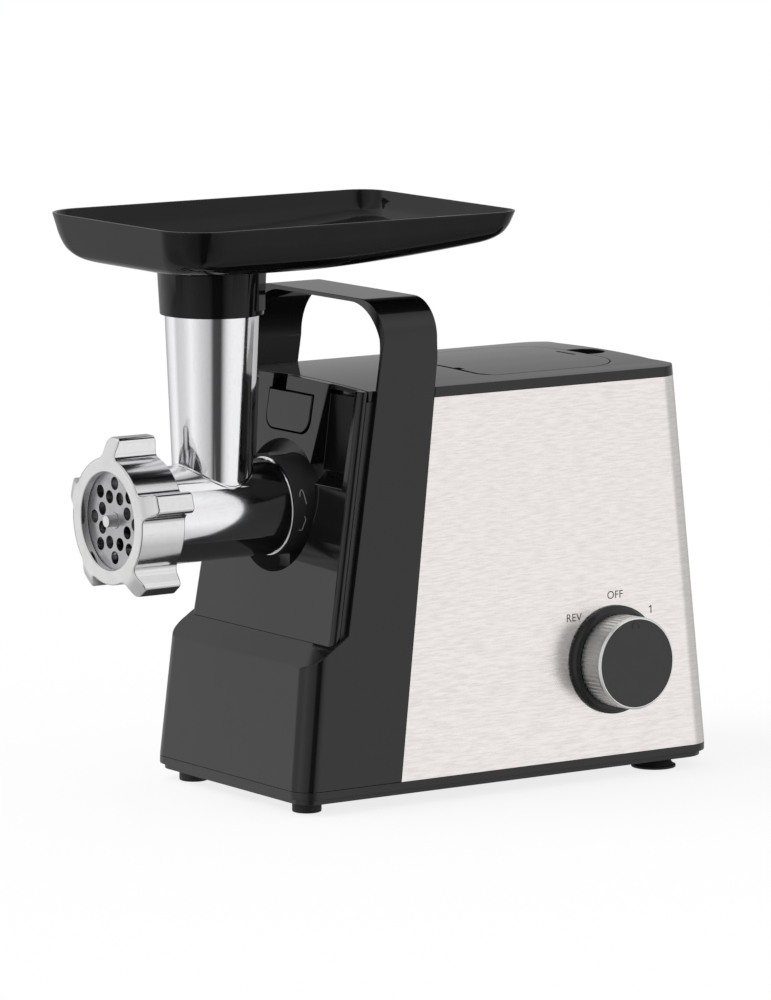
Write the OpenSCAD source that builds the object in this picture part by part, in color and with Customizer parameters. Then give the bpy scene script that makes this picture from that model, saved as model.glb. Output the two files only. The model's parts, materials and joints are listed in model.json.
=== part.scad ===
// Electric meat grinder: upright housing with a carrying strap over the top, a bayonet
// grinding head with a feed tube and a hopper tray, a rotary switch on the right side,
// and a universal motor that drives the auger through three pairs of spur gears.
//
// Frame: x = 0 is the symmetry plane of the housing and holds the head axis, which runs
// along Y. The head points to -Y, the knob side is +X, and z = 0 is the table. seat() moves
// the finished model so that its origin is at the middle of its bounding box on the table.

/* [Housing] */
// Full width across the sides at the foot
body_w = 166.2; // [156:1:190]
// Depth from the lower front face to the rear at the foot
body_depth = 310.8; // [300:1:340]
// Height of the top edge of the steel panel above the table
body_h = 245.7; // [242:1:262]
// Lean of each side, as mm inwards for each mm of height
side_lean = 0.034; // [0:0.002:0.045]
// Lean of the rear, as mm forwards for each mm of height
rear_lean = 0.089; // [0:0.005:0.12]
// Radius of the upright front corners
front_corner_r = 13.4; // [8:0.2:20]
// Radius of the upright rear corners
rear_corner_r = 19.2; // [12:0.2:26]
// Wall of the moulded housings
wall = 2.5; // [2:0.1:3.2]
// Thickness of the steel panel
steel_t = 0.8; // [0.5:0.1:1.2]
// Gap between two pieces that fit into each other
fit_gap = 0.15; // [0.1:0.05:0.3]

/* [Base] */
// Height of the feet
foot_h = 6.8; // [5:0.1:9]
// Height of the band between the feet and the steel panel
band_h = 8.3; // [7:0.1:12]
// Radius of a front foot
front_foot_r = 8.9; // [7:0.1:11]
// Radius of a rear suction foot
rear_foot_r = 13.9; // [11:0.1:16]
// Distance from the middle plane to each foot
foot_x = 62; // [55:0.5:64]
// Distance of the front feet behind the lower front face
front_foot_y = 17.2; // [16:0.2:24]
// Distance of the rear feet behind the lower front face
rear_foot_y = 277.6; // [265:0.5:280]

/* [Lower front box] */
// Height of the front edge of its sloping top
box_h = 89; // [84:0.5:94]
// Lean of its front face
box_lean = 0.105; // [0.06:0.005:0.14]
// Thickness of its walls and of the carrying strap's sides
strap_t = 3; // [2.4:0.1:3.6]

/* [Carrying strap] */
// Top of the strap above the table
strap_top = 305.2; // [298:0.5:320]
// Thickness of the strap across its top
strap_top_t = 2.7; // [2.2:0.1:4]
// Outer bend radius of the strap
strap_outer_r = 24; // [18:0.5:27]
// Inner bend radius of the strap
strap_inner_r = 33; // [26:0.5:36]
// Front edge of the strap where it meets the sloping top
strap_foot_y = 35.5; // [34:0.5:38]
// Lean of the front edge
strap_lean = 0.168; // [0.14:0.004:0.18]
// Front edge across the top
strap_front_y = 65; // [62:0.5:70]
// Rear edge across the top
strap_back_y = 104; // [100:0.5:108]
// Front edge of the steel panel at the foot
steel_foot_y = 71.9; // [68:0.5:74]
// Lean of that edge
steel_lean = 0.1262; // [0.11:0.002:0.135]

/* [Front fascia] */
// Depth of the fascia's face at the height of the head axis
fascia_axis_y = 37.5; // [36:0.1:39.5]
// Lean of its face
fascia_lean = 0.16; // [0.15:0.002:0.165]
// Depth of the fascia from its face to the seam
fascia_d = 5; // [4.4:0.1:5.4]
// Radius of the round recess about the head
recess_r = 40; // [38:0.5:41]
// Floor of the round recess
recess_floor_y = 51; // [50.5:0.1:51.2]
// Floor of the pockets beside the tower
pocket_floor_y = 52; // [51.5:0.1:52.2]
// Distance of the ledge under the pockets below the edge of the steel panel
ledge_drop = 52.2; // [49:0.1:56]
// Half width of the tower at its top
tower_top_x = 38; // [36:0.5:42]
// Half width of the tower at the ledge
tower_foot_x = 27; // [26:0.5:32]

/* [Release button] */
// Width of the button
button_w = 46; // [38:0.5:50]
// Distance of its lower edge below the edge of the steel panel
button_drop = 23.7; // [22:0.1:25]
// Height of the button
button_h = 22.6; // [20:0.2:24]
// Travel of the button
button_travel = 3; // [2:0.1:3]
// Width of the notch over the button
notch_w = 14.6; // [10:0.2:18]

/* [Top cover and storage] */
// Height of the crown above the edge of the steel panel
crown_h = 8.6; // [7.6:0.1:10]
// Rise of the crown in the middle
crown_rise = 2.4; // [1.5:0.1:3]
// Half width of the storage lid
lid_half_w = 55; // [46:0.5:58]
// Front edge of the storage lid
lid_front_y = 152; // [148:0.5:156]
// Distance of the lid's rear edge from the lower rear edge of the body
lid_rear_gap = 48.8; // [45:0.1:60]
// Depth of the storage tub
tub_depth = 34; // [20:0.5:40]

/* [Grinding head] */
// Distance of the head axis below the edge of the steel panel
axis_drop = 68.9; // [66:0.1:72]
// Outer radius of the horizontal tube
tube_r = 29.5; // [29:0.1:30]
// Wall of the cast tube
tube_wall = 3.5; // [3:0.1:4]
// Rear end of the visible tube
tube_rear_y = 30; // [28:0.2:31]
// Front face of the locking ring
ring_face_y = -84.4; // [-90:0.2:-80]
// Outer radius of the locking ring between its lobes
ring_r = 38.4; // [38:0.1:41]
// Reach of a lobe of the ring
lobe_r = 50; // [46:0.5:52]
// Number of lobes
lobe_count = 5; // [3:1:6]
// Radius of the opening in the ring
ring_open_r = 29.5; // [28:0.1:30]
// Depth of the ring
ring_d = 29; // [26:0.5:32]
// Radius of the perforated plate
plate_r = 31; // [30.6:0.1:31.2]
// Thickness of the perforated plate
plate_t = 5.4; // [4:0.1:6]
// Radius of a hole in the plate
plate_hole_r = 3.9; // [2:0.1:4]
// Radius of the inner circle of holes
plate_inner_r = 14.8; // [12.5:0.1:15]
// Radius of the outer circle of holes
plate_outer_r = 22.4; // [22:0.1:24]
// Thread pitch of the ring
ring_pitch = 4; // [3:0.5:6]
// Distance of the feed tube's axis from the lower front face
feed_y = -9.3; // [-12:0.1:-6]
// Outer radius of the feed tube at its top
feed_top_r = 28.4; // [27.5:0.1:29]
// Outer radius of the feed tube at its foot
feed_foot_r = 24; // [23:0.1:25]
// Top end of the feed tube
feed_top_z = 318; // [314:0.5:322]
// Radius of the feed throat
throat_r = 25.2; // [24:0.1:25.6]

/* [Auger] */
// Clearance between the flight and the tube
flight_gap = 0.8; // [0.5:0.1:1.5]
// Pitch of the flight
flight_pitch = 36; // [30:1:44]
// Radius of the auger's core
core_r = 10; // [8:0.2:12]
// Radius of the front pin
pin_r = 3.6; // [3.2:0.1:4]
// Radial clearance of a shaft in its bush
running_gap = 0.05; // [0.03:0.01:0.08]

/* [Hopper tray] */
// Width of the tray at its rim
tray_w = 167.4; // [150:0.5:180]
// Front edge of the rim
tray_front_y = -82.2; // [-86:0.2:-74]
// Rear edge of the rim
tray_rear_y = 163.3; // [150:0.5:175]
// Height of the rim
tray_rim_z = 355.5; // [350:0.5:362]
// Depth of the tray at its front
tray_front_d = 31.5; // [29:0.5:34]
// Depth of the tray at its rear
tray_rear_d = 19.4; // [15:0.2:26]
// Radius of the rim's front corners in plan
tray_corner_r = 30; // [24:0.5:38]
// Radius of the rim's rear corners in plan
tray_rear_corner_r = 19; // [15:0.5:30]
// Wall of the tray
tray_t = 2.5; // [2:0.1:3]

/* [Switch knob] */
// Distance of the knob's axis behind the lower front face
knob_y = 232.2; // [225:0.5:240]
// Height of the knob's axis
knob_z = 74.4; // [68:0.5:85]
// Radius of the knob
knob_r = 28.5; // [24:0.1:31]
// Height of the knob's face above the panel
knob_h = 23.8; // [20:0.2:28]
// Radius of the flange behind the knob
flange_r = 33.1; // [31.5:0.1:36]
// Number of grips round the knob
grip_count = 60; // [36:2:80]

/* [Gear train] */
// Teeth of each of the three pinions
pinion_teeth = 12; // [12:1:12]
// Teeth of the first gear, next to the motor
first_teeth = 54; // [50:1:56]
// Teeth of the second gear
second_teeth = 50; // [48:1:52]
// Teeth of the output gear
output_teeth = 48; // [46:1:49]
// Module of the first pair
first_module = 1; // [0.9:0.05:1.05]
// Module of the second pair
second_module = 1.25; // [1.2:0.05:1.3]
// Module of the output pair
output_module = 1.75; // [1.6:0.05:1.75]
// Play between the teeth of a pair
backlash = 0.2; // [0.16:0.02:0.3]

/* [Hidden] */
$fn = 64;

far = 400;
eps = 0.01;
// How far a rounding reaches past the leaning faces that it joins, so that it crosses both
blend = 0.05;

// Heights of the housing
band_top = foot_h + band_h;
band_mid = foot_h + 0.4 * band_h;
cover_z = body_h;
crown_z = body_h + crown_h;
axis_z = body_h - axis_drop;
ledge_z = body_h - ledge_drop;
button_z = body_h - button_drop;

// Rear edge of the storage lid
lid_rear_y = body_depth - lid_rear_gap;

// Half width and rear of the housing at height z
function half_w(z) = body_w / 2 - side_lean * (z - band_top);
function rear_y(z) = body_depth - rear_lean * (z - band_top);

// Front surfaces at height z
function box_y(z) = box_lean * (z - band_top);
function fascia_y(z) = fascia_axis_y + fascia_lean * (z - axis_z);
function strap_y(z) = strap_foot_y + strap_lean * (z - strap_foot_z);
function steel_y(z) = steel_foot_y + steel_lean * (z - band_top);

// Sloping top of the lower front box: from the box's front edge up to the strap's foot
shelf_slope = 0.653;
function shelf_z(y) = box_h + shelf_slope * (y - box_y(box_h));
fascia_foot_z = (shelf_z(fascia_axis_y) - shelf_slope * fascia_lean * axis_z)
  / (1 - shelf_slope * fascia_lean);
fascia_foot_y = fascia_y(fascia_foot_z);
strap_foot_z = shelf_z(strap_foot_y);
shelf_back_y = fascia_foot_y + fascia_d - 0.8;

// Insets from the outer surface
chassis_inset = strap_t + fit_gap;
panel_inset = steel_t + fit_gap;
tilt = atan(side_lean);

// Crown of the top cover: a cylinder about an axis along Y
crown_r = pow(half_w(crown_z), 2) / (2 * crown_rise);

// Bulkhead that carries the gearbox and the socket
bulkhead_y = 58;
bulkhead_t = 3;
case_y = bulkhead_y + bulkhead_t;
case_wall = 4;
cover_y = case_y + 45.5;
cover_t = 4;

// Head, from front to rear
plate_y = ring_face_y + 5.4;
plate_back_y = plate_y + plate_t;
bore_r = tube_r - tube_wall;
tip_y = ring_face_y - 0.9;
thread_r = plate_r + 3.9;
casting_front_y = plate_y + 1.5;
ring_back_y = ring_face_y + ring_d;
knife_t = 7;
knife_front_y = plate_back_y + 0.2;
knife_back_y = knife_front_y + knife_t;
knife_sq = 10;
spigot_r = tube_r - 4.5;
spigot_end_y = tube_rear_y + 18.7;
rear_wall_y = tube_rear_y - 6;
rear_wall_t = 7;
journal_r = 9;
bush_wall = 3;
lug_r = spigot_r + 3;
lug_y = tube_rear_y + 11.5;
lug_t = 5;
lug_count = 3;
collar_front_y = tube_rear_y + 0.3;
flange_y = pocket_floor_y + wall + 0.2;
hex_af = 13.7;
hex_gap = 0.15;
cup_r = 16;
cup_y = spigot_end_y + 1.4;
cup_d = 12;

// Gear train centres, as x and z
output_c = [0, axis_z];
output_dist = output_module * (output_teeth + pinion_teeth) / 2;
second_dist = second_module * (second_teeth + pinion_teeth) / 2;
first_dist = first_module * (first_teeth + pinion_teeth) / 2;
output_dir = -60;
second_dir = -150;
second_c = output_c + output_dist * [cos(output_dir), sin(output_dir)];
first_c = second_c + second_dist * [cos(second_dir), sin(second_dir)];
first_dir = -acos(-first_c[0] / first_dist);
motor_c = first_c + first_dist * [cos(first_dir), sin(first_dir)];

// Gear planes, from front to rear
output_gear_y = case_y + 6;
output_gear_t = 14;
second_gear_y = output_gear_y + output_gear_t + 2.5;
second_gear_t = 10;
first_gear_y = second_gear_y + second_gear_t + 2.5;
first_gear_t = 8;
first_shaft_r = 4;
second_shaft_r = 5;
spindle_r = 11;
spindle_rear_r = 8;
tooth_top = 0.8;
tooth_root = 1.05;

// Motor, from front to rear
motor_shaft_r = 4;
motor_front_y = cover_y + cover_t + 6;
bracket_t = 5;
fan_y = motor_front_y + bracket_t + 1.5;
fan_t = 9;
fan_r = 31;
stack_y = fan_y + fan_t + 8;
stack_l = 45;
stack_w = 84;
stack_h = 74;
stack_bore_r = 22.2;
core_out_r = 21.6;
coil_x = 24;
coil_t = 8;
coil_in = 15;
coil_out = 25;
coil_end = 6;
commutator_r = 11;
commutator_y = stack_y + stack_l + 9;
commutator_l = 14;
motor_back_y = commutator_y + commutator_l + 5;
bearing_r = 9;
bolt_x = 37;

// Hinge of the storage lid
hinge_r = 2;
hinge_pin_r = 1;
hinge_y = lid_front_y + 3;
hinge_z = crown_z - 2.9;
lid_t = 2.4;
lid_gap = 0.4;

// Cord inlet in the rear
gland_z = 32;
gland_x = 44;
gland_end_y = body_depth + 4;

// Middle of the bounding box
knob_edge = 0.9;
knob_reach = half_w(knob_z) + knob_h * cos(tilt) + (knob_r - knob_edge) * sin(tilt);
mid_x = (knob_reach - tray_w / 2) / 2;
mid_y = (tip_y + gland_end_y) / 2;

// ---------------------------------------------------------------- helpers

module seat() {
  translate([-mid_x, -mid_y, 0]) children();
}

// An outline in x and z, pushed along Y
module along_y(y0, y1) {
  translate([0, y1, 0]) rotate([90, 0, 0]) linear_extrude(y1 - y0) children();
}

// An outline in y and z, pushed along X
module along_x(x0, x1) {
  translate([x0, 0, 0]) rotate([90, 0, 90]) linear_extrude(x1 - x0) children();
}

// A round bar along Y at c = [x, z]
module rod_y(r, y0, y1, c) {
  translate([c[0], y1, c[1]]) rotate([90, 0, 0]) cylinder(r = r, h = y1 - y0);
}

// A round bar on the head axis
module head_rod(r, y0, y1) {
  rod_y(r, y0, y1, output_c);
}

// Both sides of the middle plane
module both_sides() {
  for (side = [0, 1]) mirror([side, 0, 0]) children();
}

// Takes the sharp upright edge at the right side off to radius r; inward is 1 at a front
// corner and -1 at a rear corner
module round_off(foot, top, r, inward) {
  d = top - foot;
  translate(foot)
    rotate([-atan2(d[1], d[2]), atan2(d[0], d[2]), 0])
      translate([0, 0, -2])
        linear_extrude(norm(d) + 4)
          difference() {
            translate([-r, inward > 0 ? -2 : -r]) square([r + 2, r + 2]);
            translate([-r + blend, inward * (r - blend)]) circle(r);
          }
}

// The housing between heights z0 and z1, inset from its outer surface, with a flat front
// through y_foot and y_top; front_r rounds its front corners
module body_form(inset, z0, z1, y_foot, y_top, front_r) {
  foot = half_w(z0) - inset;
  top = half_w(z1) - inset;
  back_foot = rear_y(z0) - inset;
  back_top = rear_y(z1) - inset;
  difference() {
    intersection() {
      along_y(-far, far)
        polygon([[-foot, z0], [foot, z0], [top, z1], [-top, z1]]);
      along_x(-far, far)
        polygon([[y_foot, z0], [back_foot, z0], [back_top, z1], [y_top, z1]]);
    }
    both_sides() {
      round_off([foot, back_foot, z0], [top, back_top, z1], rear_corner_r - inset, -1);
      if (front_r > 0) round_off([foot, y_foot, z0], [top, y_top, z1], front_r, 1);
    }
  }
}

// Footprint of the housing at the band, inset
module footprint(inset) {
  x = half_w(band_top) - inset;
  y1 = rear_y(band_top) - inset;
  fr = front_corner_r - inset;
  rr = rear_corner_r - inset;
  translate([-x, inset + fr]) square([2 * x, y1 - inset - fr - rr]);
  translate([-x + fr, inset]) square([2 * (x - fr), fr + 1]);
  translate([-x + rr, y1 - rr - 1]) square([2 * (x - rr), rr + 1]);
  for (side = [-1, 1]) {
    translate([side * (x - fr), inset + fr]) circle(fr);
    translate([side * (x - rr), y1 - rr]) circle(rr);
  }
}

// Bounding shape of everything under the crown of the top cover, less drop
module crown_form(drop) {
  translate([0, far, crown_z - crown_r - drop])
    rotate([90, 0, 0])
      cylinder(r = crown_r, h = 2 * far, $fn = 720);
}

// A rounded rectangle with its middle at the origin
module rounded(w, h, r) {
  square([w - 2 * r, h], center = true);
  square([w, h - 2 * r], center = true);
  for (x = [-1, 1], y = [-1, 1]) translate([x * (w / 2 - r), y * (h / 2 - r)]) circle(r);
}

// Children at count even steps round the head axis
module round_head(count, start) {
  for (i = [0 : count - 1])
    translate([0, 0, axis_z])
      rotate([0, start + i * 360 / count, 0])
        translate([0, 0, -axis_z])
          children();
}

// ---------------------------------------------------------------- gears

function involute_roll(rb, r) = sqrt(max(0, pow(r / rb, 2) - 1)) * 180 / PI;
function involute_turn(rb, r) = involute_roll(rb, r) - atan(sqrt(max(0, pow(r / rb, 2) - 1)));

// Angle of a tooth's flank from the tooth's middle at radius r
function flank_angle(m, teeth, r) =
  let (rp = m * teeth / 2, rb = rp * cos(20))
  90 / teeth - backlash / rp / 2 * 90 / PI + involute_turn(rb, rp) - involute_turn(rb, max(r, rb));

function polar(r, a) = [r * cos(a), r * sin(a)];

// Outline of a spur gear with a tooth's middle at angle 0
module gear_outline(m, teeth) {
  rp = m * teeth / 2;
  rb = rp * cos(20);
  root = rp - tooth_root * m;
  tip = rp + tooth_top * m;
  start = max(root, rb);
  steps = 4;
  flank = [for (k = [0 : steps]) start + (tip - start) * k / steps];
  polygon([
    for (i = [0 : teeth - 1]) let (mid = i * 360 / teeth) each concat(
      [polar(root, mid - flank_angle(m, teeth, start))],
      [for (r = flank) polar(r, mid - flank_angle(m, teeth, r))],
      [for (k = [steps : -1 : 0]) polar(flank[k], mid + flank_angle(m, teeth, flank[k]))],
      [polar(root, mid + flank_angle(m, teeth, start))]
    )
  ]);
}

// A spur gear on a shaft: rim, thinner web and hub
module gear(m, teeth, c, y, t, turn, shaft, web) {
  rim_r = m * teeth / 2 - 3.2 * m;
  hub_r = shaft + 4;
  difference() {
    translate([c[0], 0, c[1]])
      along_y(y, y + t) rotate(turn) gear_outline(m, teeth);
    rod_y(shaft + 0.02, y - 1, y + t + 1, c);
    if (web > 0)
      for (face = [y - 1, y + t - web])
        difference() {
          rod_y(rim_r, face, face + web + 1, c);
          rod_y(hub_r, face - 1, face + web + 2, c);
        }
  }
}

// ---------------------------------------------------------------- base

module base_plate() {
  color([0.13, 0.13, 0.14]) seat() {
    difference() {
      union() {
        translate([0, 0, band_mid]) linear_extrude(band_top - band_mid) footprint(0);
        translate([0, 0, foot_h]) linear_extrude(band_mid - foot_h + eps) footprint(strap_t);
      }
      translate([0, 0, foot_h + wall])
        linear_extrude(far) footprint(strap_t + wall);
      base_vents();
      for (p = screw_places) translate([p[0], p[1], 0]) cylinder(r = 2.1, h = far);
      for (p = screw_places) translate([p[0], p[1], 0]) cylinder(r = 4, h = foot_h + 1);
    }
    difference() {
      for (p = screw_places)
        translate([p[0], p[1], foot_h + 1]) cylinder(r = 6, h = band_h - 1);
      for (p = screw_places) translate([p[0], p[1], 0]) cylinder(r = 2.1, h = far);
    }
    for (x = [-30, 30])
      translate([x - 1, 30, foot_h + wall - eps]) cube([2, body_depth - 60, 3.5]);
  }
}

screw_places = [
  for (x = [-1, 1], y = [46, body_depth - 52])
    [x * (half_w(band_top) - chassis_inset - 8), y]
];

module base_vents() {
  for (row = [-3 : 3], side = [-1, 1])
    translate([side * 46, motor_back_y - 40 + row * 9, foot_h - 1])
      linear_extrude(wall + 2) {
        square([16, 4], center = true);
        for (end = [-8, 8]) translate([end, 0]) circle(2);
      }
}

module front_feet() {
  color([0.1, 0.1, 0.1]) seat()
    for (side = [-1, 1])
      translate([side * foot_x, front_foot_y, 0])
        difference() {
          cylinder(r = front_foot_r, h = foot_h);
          translate([0, 0, -1]) cylinder(r = 3, h = 3);
        }
}

module rear_feet() {
  color([0.1, 0.1, 0.1]) seat()
    for (side = [-1, 1])
      translate([side * foot_x, rear_foot_y, 0])
        difference() {
          union() {
            cylinder(r = rear_foot_r, h = 1.6);
            translate([0, 0, 1.6])
              cylinder(r1 = rear_foot_r - 1.2, r2 = rear_foot_r - 5, h = foot_h - 1.6);
          }
          translate([0, 0, -1]) cylinder(r = rear_foot_r - 3, h = 2.2);
        }
}

module base_screws() {
  color([0.6, 0.6, 0.62]) seat()
    for (p = screw_places)
      translate([p[0], p[1], foot_h - 0.6]) {
        cylinder(r = 3.6, h = 1.6);
        cylinder(r = 2, h = 17);
      }
}

// ---------------------------------------------------------------- front housing and strap

// Outline of the strap and the housing in x and z
module strap_outline(inset, top, bend_r) {
  bend_z = top - bend_r;
  foot = half_w(band_top - 5) - inset;
  shoulder = half_w(bend_z) - inset;
  polygon([[-foot, band_top - 5], [foot, band_top - 5], [shoulder, bend_z], [-shoulder, bend_z]]);
  for (side = [-1, 1]) translate([side * (shoulder - bend_r + blend), bend_z]) circle(bend_r);
  translate([-(shoulder - bend_r), bend_z - 1]) square([2 * (shoulder - bend_r), bend_r + 1]);
}

// Outline of the side in y and z: lower box, sloping top, strap
module side_outline() {
  back_bend_z = band_top + (strap_back_y - steel_foot_y) / steel_lean;
  front_bend_z = strap_foot_z + (strap_front_y - strap_foot_y) / strap_lean;
  polygon([
    [-20, band_top], [steel_y(band_top), band_top], [strap_back_y, back_bend_z],
    [strap_back_y, far], [strap_front_y, far], [strap_front_y, front_bend_z],
    [strap_foot_y, strap_foot_z], [-20, shelf_z(-20)]
  ]);
}

module front_housing() {
  color([0.07, 0.07, 0.075]) seat()
    difference() {
      intersection() {
        along_x(-far, far) side_outline();
        along_y(-50, 200) strap_outline(0, strap_top, strap_outer_r);
        along_x(-far, far)
          polygon([[box_y(0), 0], [far, 0], [far, far], [box_y(far), far]]);
      }
      both_sides()
        round_off([half_w(band_top), 0, band_top], [half_w(strap_foot_z), box_y(strap_foot_z),
          strap_foot_z], front_corner_r, 1);
      // inside: keeps the front wall and the sloping top
      intersection() {
        along_y(-50, far) strap_outline(strap_t, strap_top - strap_top_t, strap_inner_r);
        along_x(-far, far)
          polygon([
            [box_y(band_top - 1) + strap_t, band_top - 1], [far, band_top - 1], [far, far],
            [shelf_back_y, far], [shelf_back_y, shelf_z(shelf_back_y) - 1.2 * strap_t],
            [box_y(box_h) + strap_t, box_h - strap_t * 0.6]
          ]);
        box_inner_corners();
      }
    }
}

// Keeps the rounded front corners of the lower box at an even wall
module box_inner_corners() {
  difference() {
    translate([-far, -50, 0]) cube([2 * far, 2 * far, 2 * far]);
    both_sides()
      round_off([half_w(0) - strap_t, box_y(0) + strap_t, 0], [half_w(strap_foot_z) - strap_t,
        box_y(strap_foot_z) + strap_t, strap_foot_z], front_corner_r - strap_t, 1);
  }
}

// ---------------------------------------------------------------- front fascia

// Outline in x and z of one pocket beside the tower, grown by wall thickness
module pocket_outline(grow) {
  z0 = ledge_z - 3 - grow;
  edge = (tower_top_x - tower_foot_x) / (crown_z - ledge_z);
  x_out0 = half_w(ledge_z) - chassis_inset - fascia_d - 3.4 + grow;
  x_out1 = half_w(crown_z) - chassis_inset - fascia_d - 1 + grow;
  polygon([
    [tower_foot_x - grow, z0], [x_out0, z0], [x_out1, crown_z + 9],
    [tower_top_x - grow + 9 * edge, crown_z + 9]
  ]);
}

module button_outline(grow) {
  w = button_w / 2 + grow;
  z0 = button_z - grow;
  z1 = button_z + button_h + grow;
  r = 9;
  translate([-w + r, z0]) square([2 * (w - r), z1 - z0]);
  translate([-w, z0 + r]) square([2 * w, z1 - z0 - r]);
  for (side = [-1, 1]) translate([side * (w - r), z0 + r]) circle(r);
}

// Slab that leans with the fascia between two depths behind its face
module fascia_slab(d0, d1) {
  z0 = fascia_foot_z - 30;
  z1 = crown_z + 20;
  along_x(-far, far)
    polygon([
      [fascia_y(z0) + d0, z0], [fascia_y(z0) + d1, z0], [fascia_y(z1) + d1, z1],
      [fascia_y(z1) + d0, z1]
    ]);
}

// Outer sides of the fascia and of the pieces that follow it
module fascia_sides(inset, y0, y1) {
  z0 = fascia_foot_z - 30;
  z1 = crown_z + 20;
  along_y(y0, y1)
    polygon([
      [-half_w(z0) + inset, z0], [half_w(z0) - inset, z0], [half_w(z1) - inset, z1],
      [-half_w(z1) + inset, z1]
    ]);
}

// Height of the ledge under the pockets at y
function ledge_at(y) = ledge_z + 0.6 * (y - fascia_y(ledge_z));

module above_shelf(gap) {
  along_x(-far, far)
    polygon([[0, shelf_z(0) + gap], [far, shelf_z(far) + gap], [far, 3 * far], [0, 3 * far]]);
}

module front_fascia() {
  color([0.09, 0.09, 0.1]) seat()
    difference() {
      union() {
        // leaning front plate with return edges
        difference() {
          intersection() {
            fascia_slab(0, fascia_d);
            fascia_sides(chassis_inset, -50, 200);
            above_shelf(fit_gap);
            crown_form(fit_gap);
          }
          both_sides()
            round_off([half_w(60) - chassis_inset, fascia_y(60), 60], [half_w(crown_z + 9)
              - chassis_inset, fascia_y(crown_z + 9), crown_z + 9], 0.8 * fascia_d, 1);
          intersection() {
            fascia_slab(wall, fascia_d + 1);
            fascia_sides(chassis_inset + 2 * wall, -50, 200);
            translate([-far, -far, fascia_foot_z + 10]) cube([2 * far, 2 * far, crown_z
              - fascia_foot_z - 14]);
          }
        }
        // wall of the round recess and of the two pockets
        intersection() {
          fascia_slab(0, far);
          crown_form(fit_gap);
          union() {
            head_rod(recess_r + wall, 0, recess_floor_y + wall);
            both_sides()
              along_y(0, pocket_floor_y + wall)
                intersection() {
                  pocket_outline(wall);
                  translate([0, ledge_z - wall]) square([far, crown_z - ledge_z - 4]);
                }
          }
        }
      }
      head_rod(recess_r, -50, recess_floor_y);
      head_rod(collar_r + 0.3, -50, far);
      // the pockets, with a ledge that slopes down to the face
      both_sides()
        intersection() {
          along_y(-50, pocket_floor_y) pocket_outline(0);
          along_x(-far, far)
            polygon([[0, ledge_at(0)], [far, ledge_at(far)], [far, 2 * far], [0, 2 * far]]);
        }
      along_y(-50, fascia_y(button_z + button_h) + fascia_d + 1) button_outline(1);
      along_y(-50, far)
        translate([-button_w / 2 + 1.6, button_z + button_h]) square([notch_w, far]);
    }
}

// ---------------------------------------------------------------- release button

module release_button() {
  link_y = flange_y + 0.3;
  link_t = 2;
  stem_z = button_z + 8;
  pin_z = axis_z + (spigot_r + lug_r) / 2 + 0.4;
  color([0.1, 0.1, 0.11]) seat() {
    intersection() {
      fascia_slab(-0.7, 2.2);
      along_y(-50, far) button_outline(0);
    }
    translate([-5, fascia_y(stem_z) + 1, stem_z - 4])
      cube([10, link_y - fascia_y(stem_z) - 1 + link_t, 9]);
    translate([-3.5, link_y, pin_z - 2.5]) cube([7, link_t, stem_z - pin_z + 4]);
    rod_y(1.8, lug_y + lug_t + 0.6, link_y + 1, [0, pin_z]);
  }
}

// Wire of a coil spring along Y, swept round a helix
function coil_point(r, pitch, a) = [r * cos(a), pitch * a / 360, r * sin(a)];

module coil(r, wire, length, turns, sides, per_turn) {
  n = turns * per_turn;
  pitch = (length - 2 * wire) / turns;
  ring_pts = [
    for (i = [0 : n]) let (a = i * 360 / per_turn, p = coil_point(r, pitch, a))
      for (k = [0 : sides - 1])
        let (b = k * 360 / sides)
          [p[0] + wire * cos(b) * cos(a), p[1] + wire * sin(b) + wire, p[2] + wire * cos(b) * sin(a)]
  ];
  polyhedron(ring_pts, concat(
    [[for (k = [0 : sides - 1]) k]],
    [for (i = [0 : n - 1], k = [0 : sides - 1])
      [i * sides + k, i * sides + (k + 1) % sides, (i + 1) * sides + (k + 1) % sides,
        (i + 1) * sides + k]],
    [[for (k = [sides - 1 : -1 : 0]) n * sides + k]]
  ));
}

spring_z = button_z + button_h - 6;
module button_spring() {
  y0 = fascia_y(spring_z) + 2.6;
  color([0.75, 0.75, 0.77]) seat()
    translate([0, y0, spring_z]) coil(3, 0.4, bulkhead_y - y0 - button_travel - 0.2, 4, 6, 14);
}

// ---------------------------------------------------------------- inner housing

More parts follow.
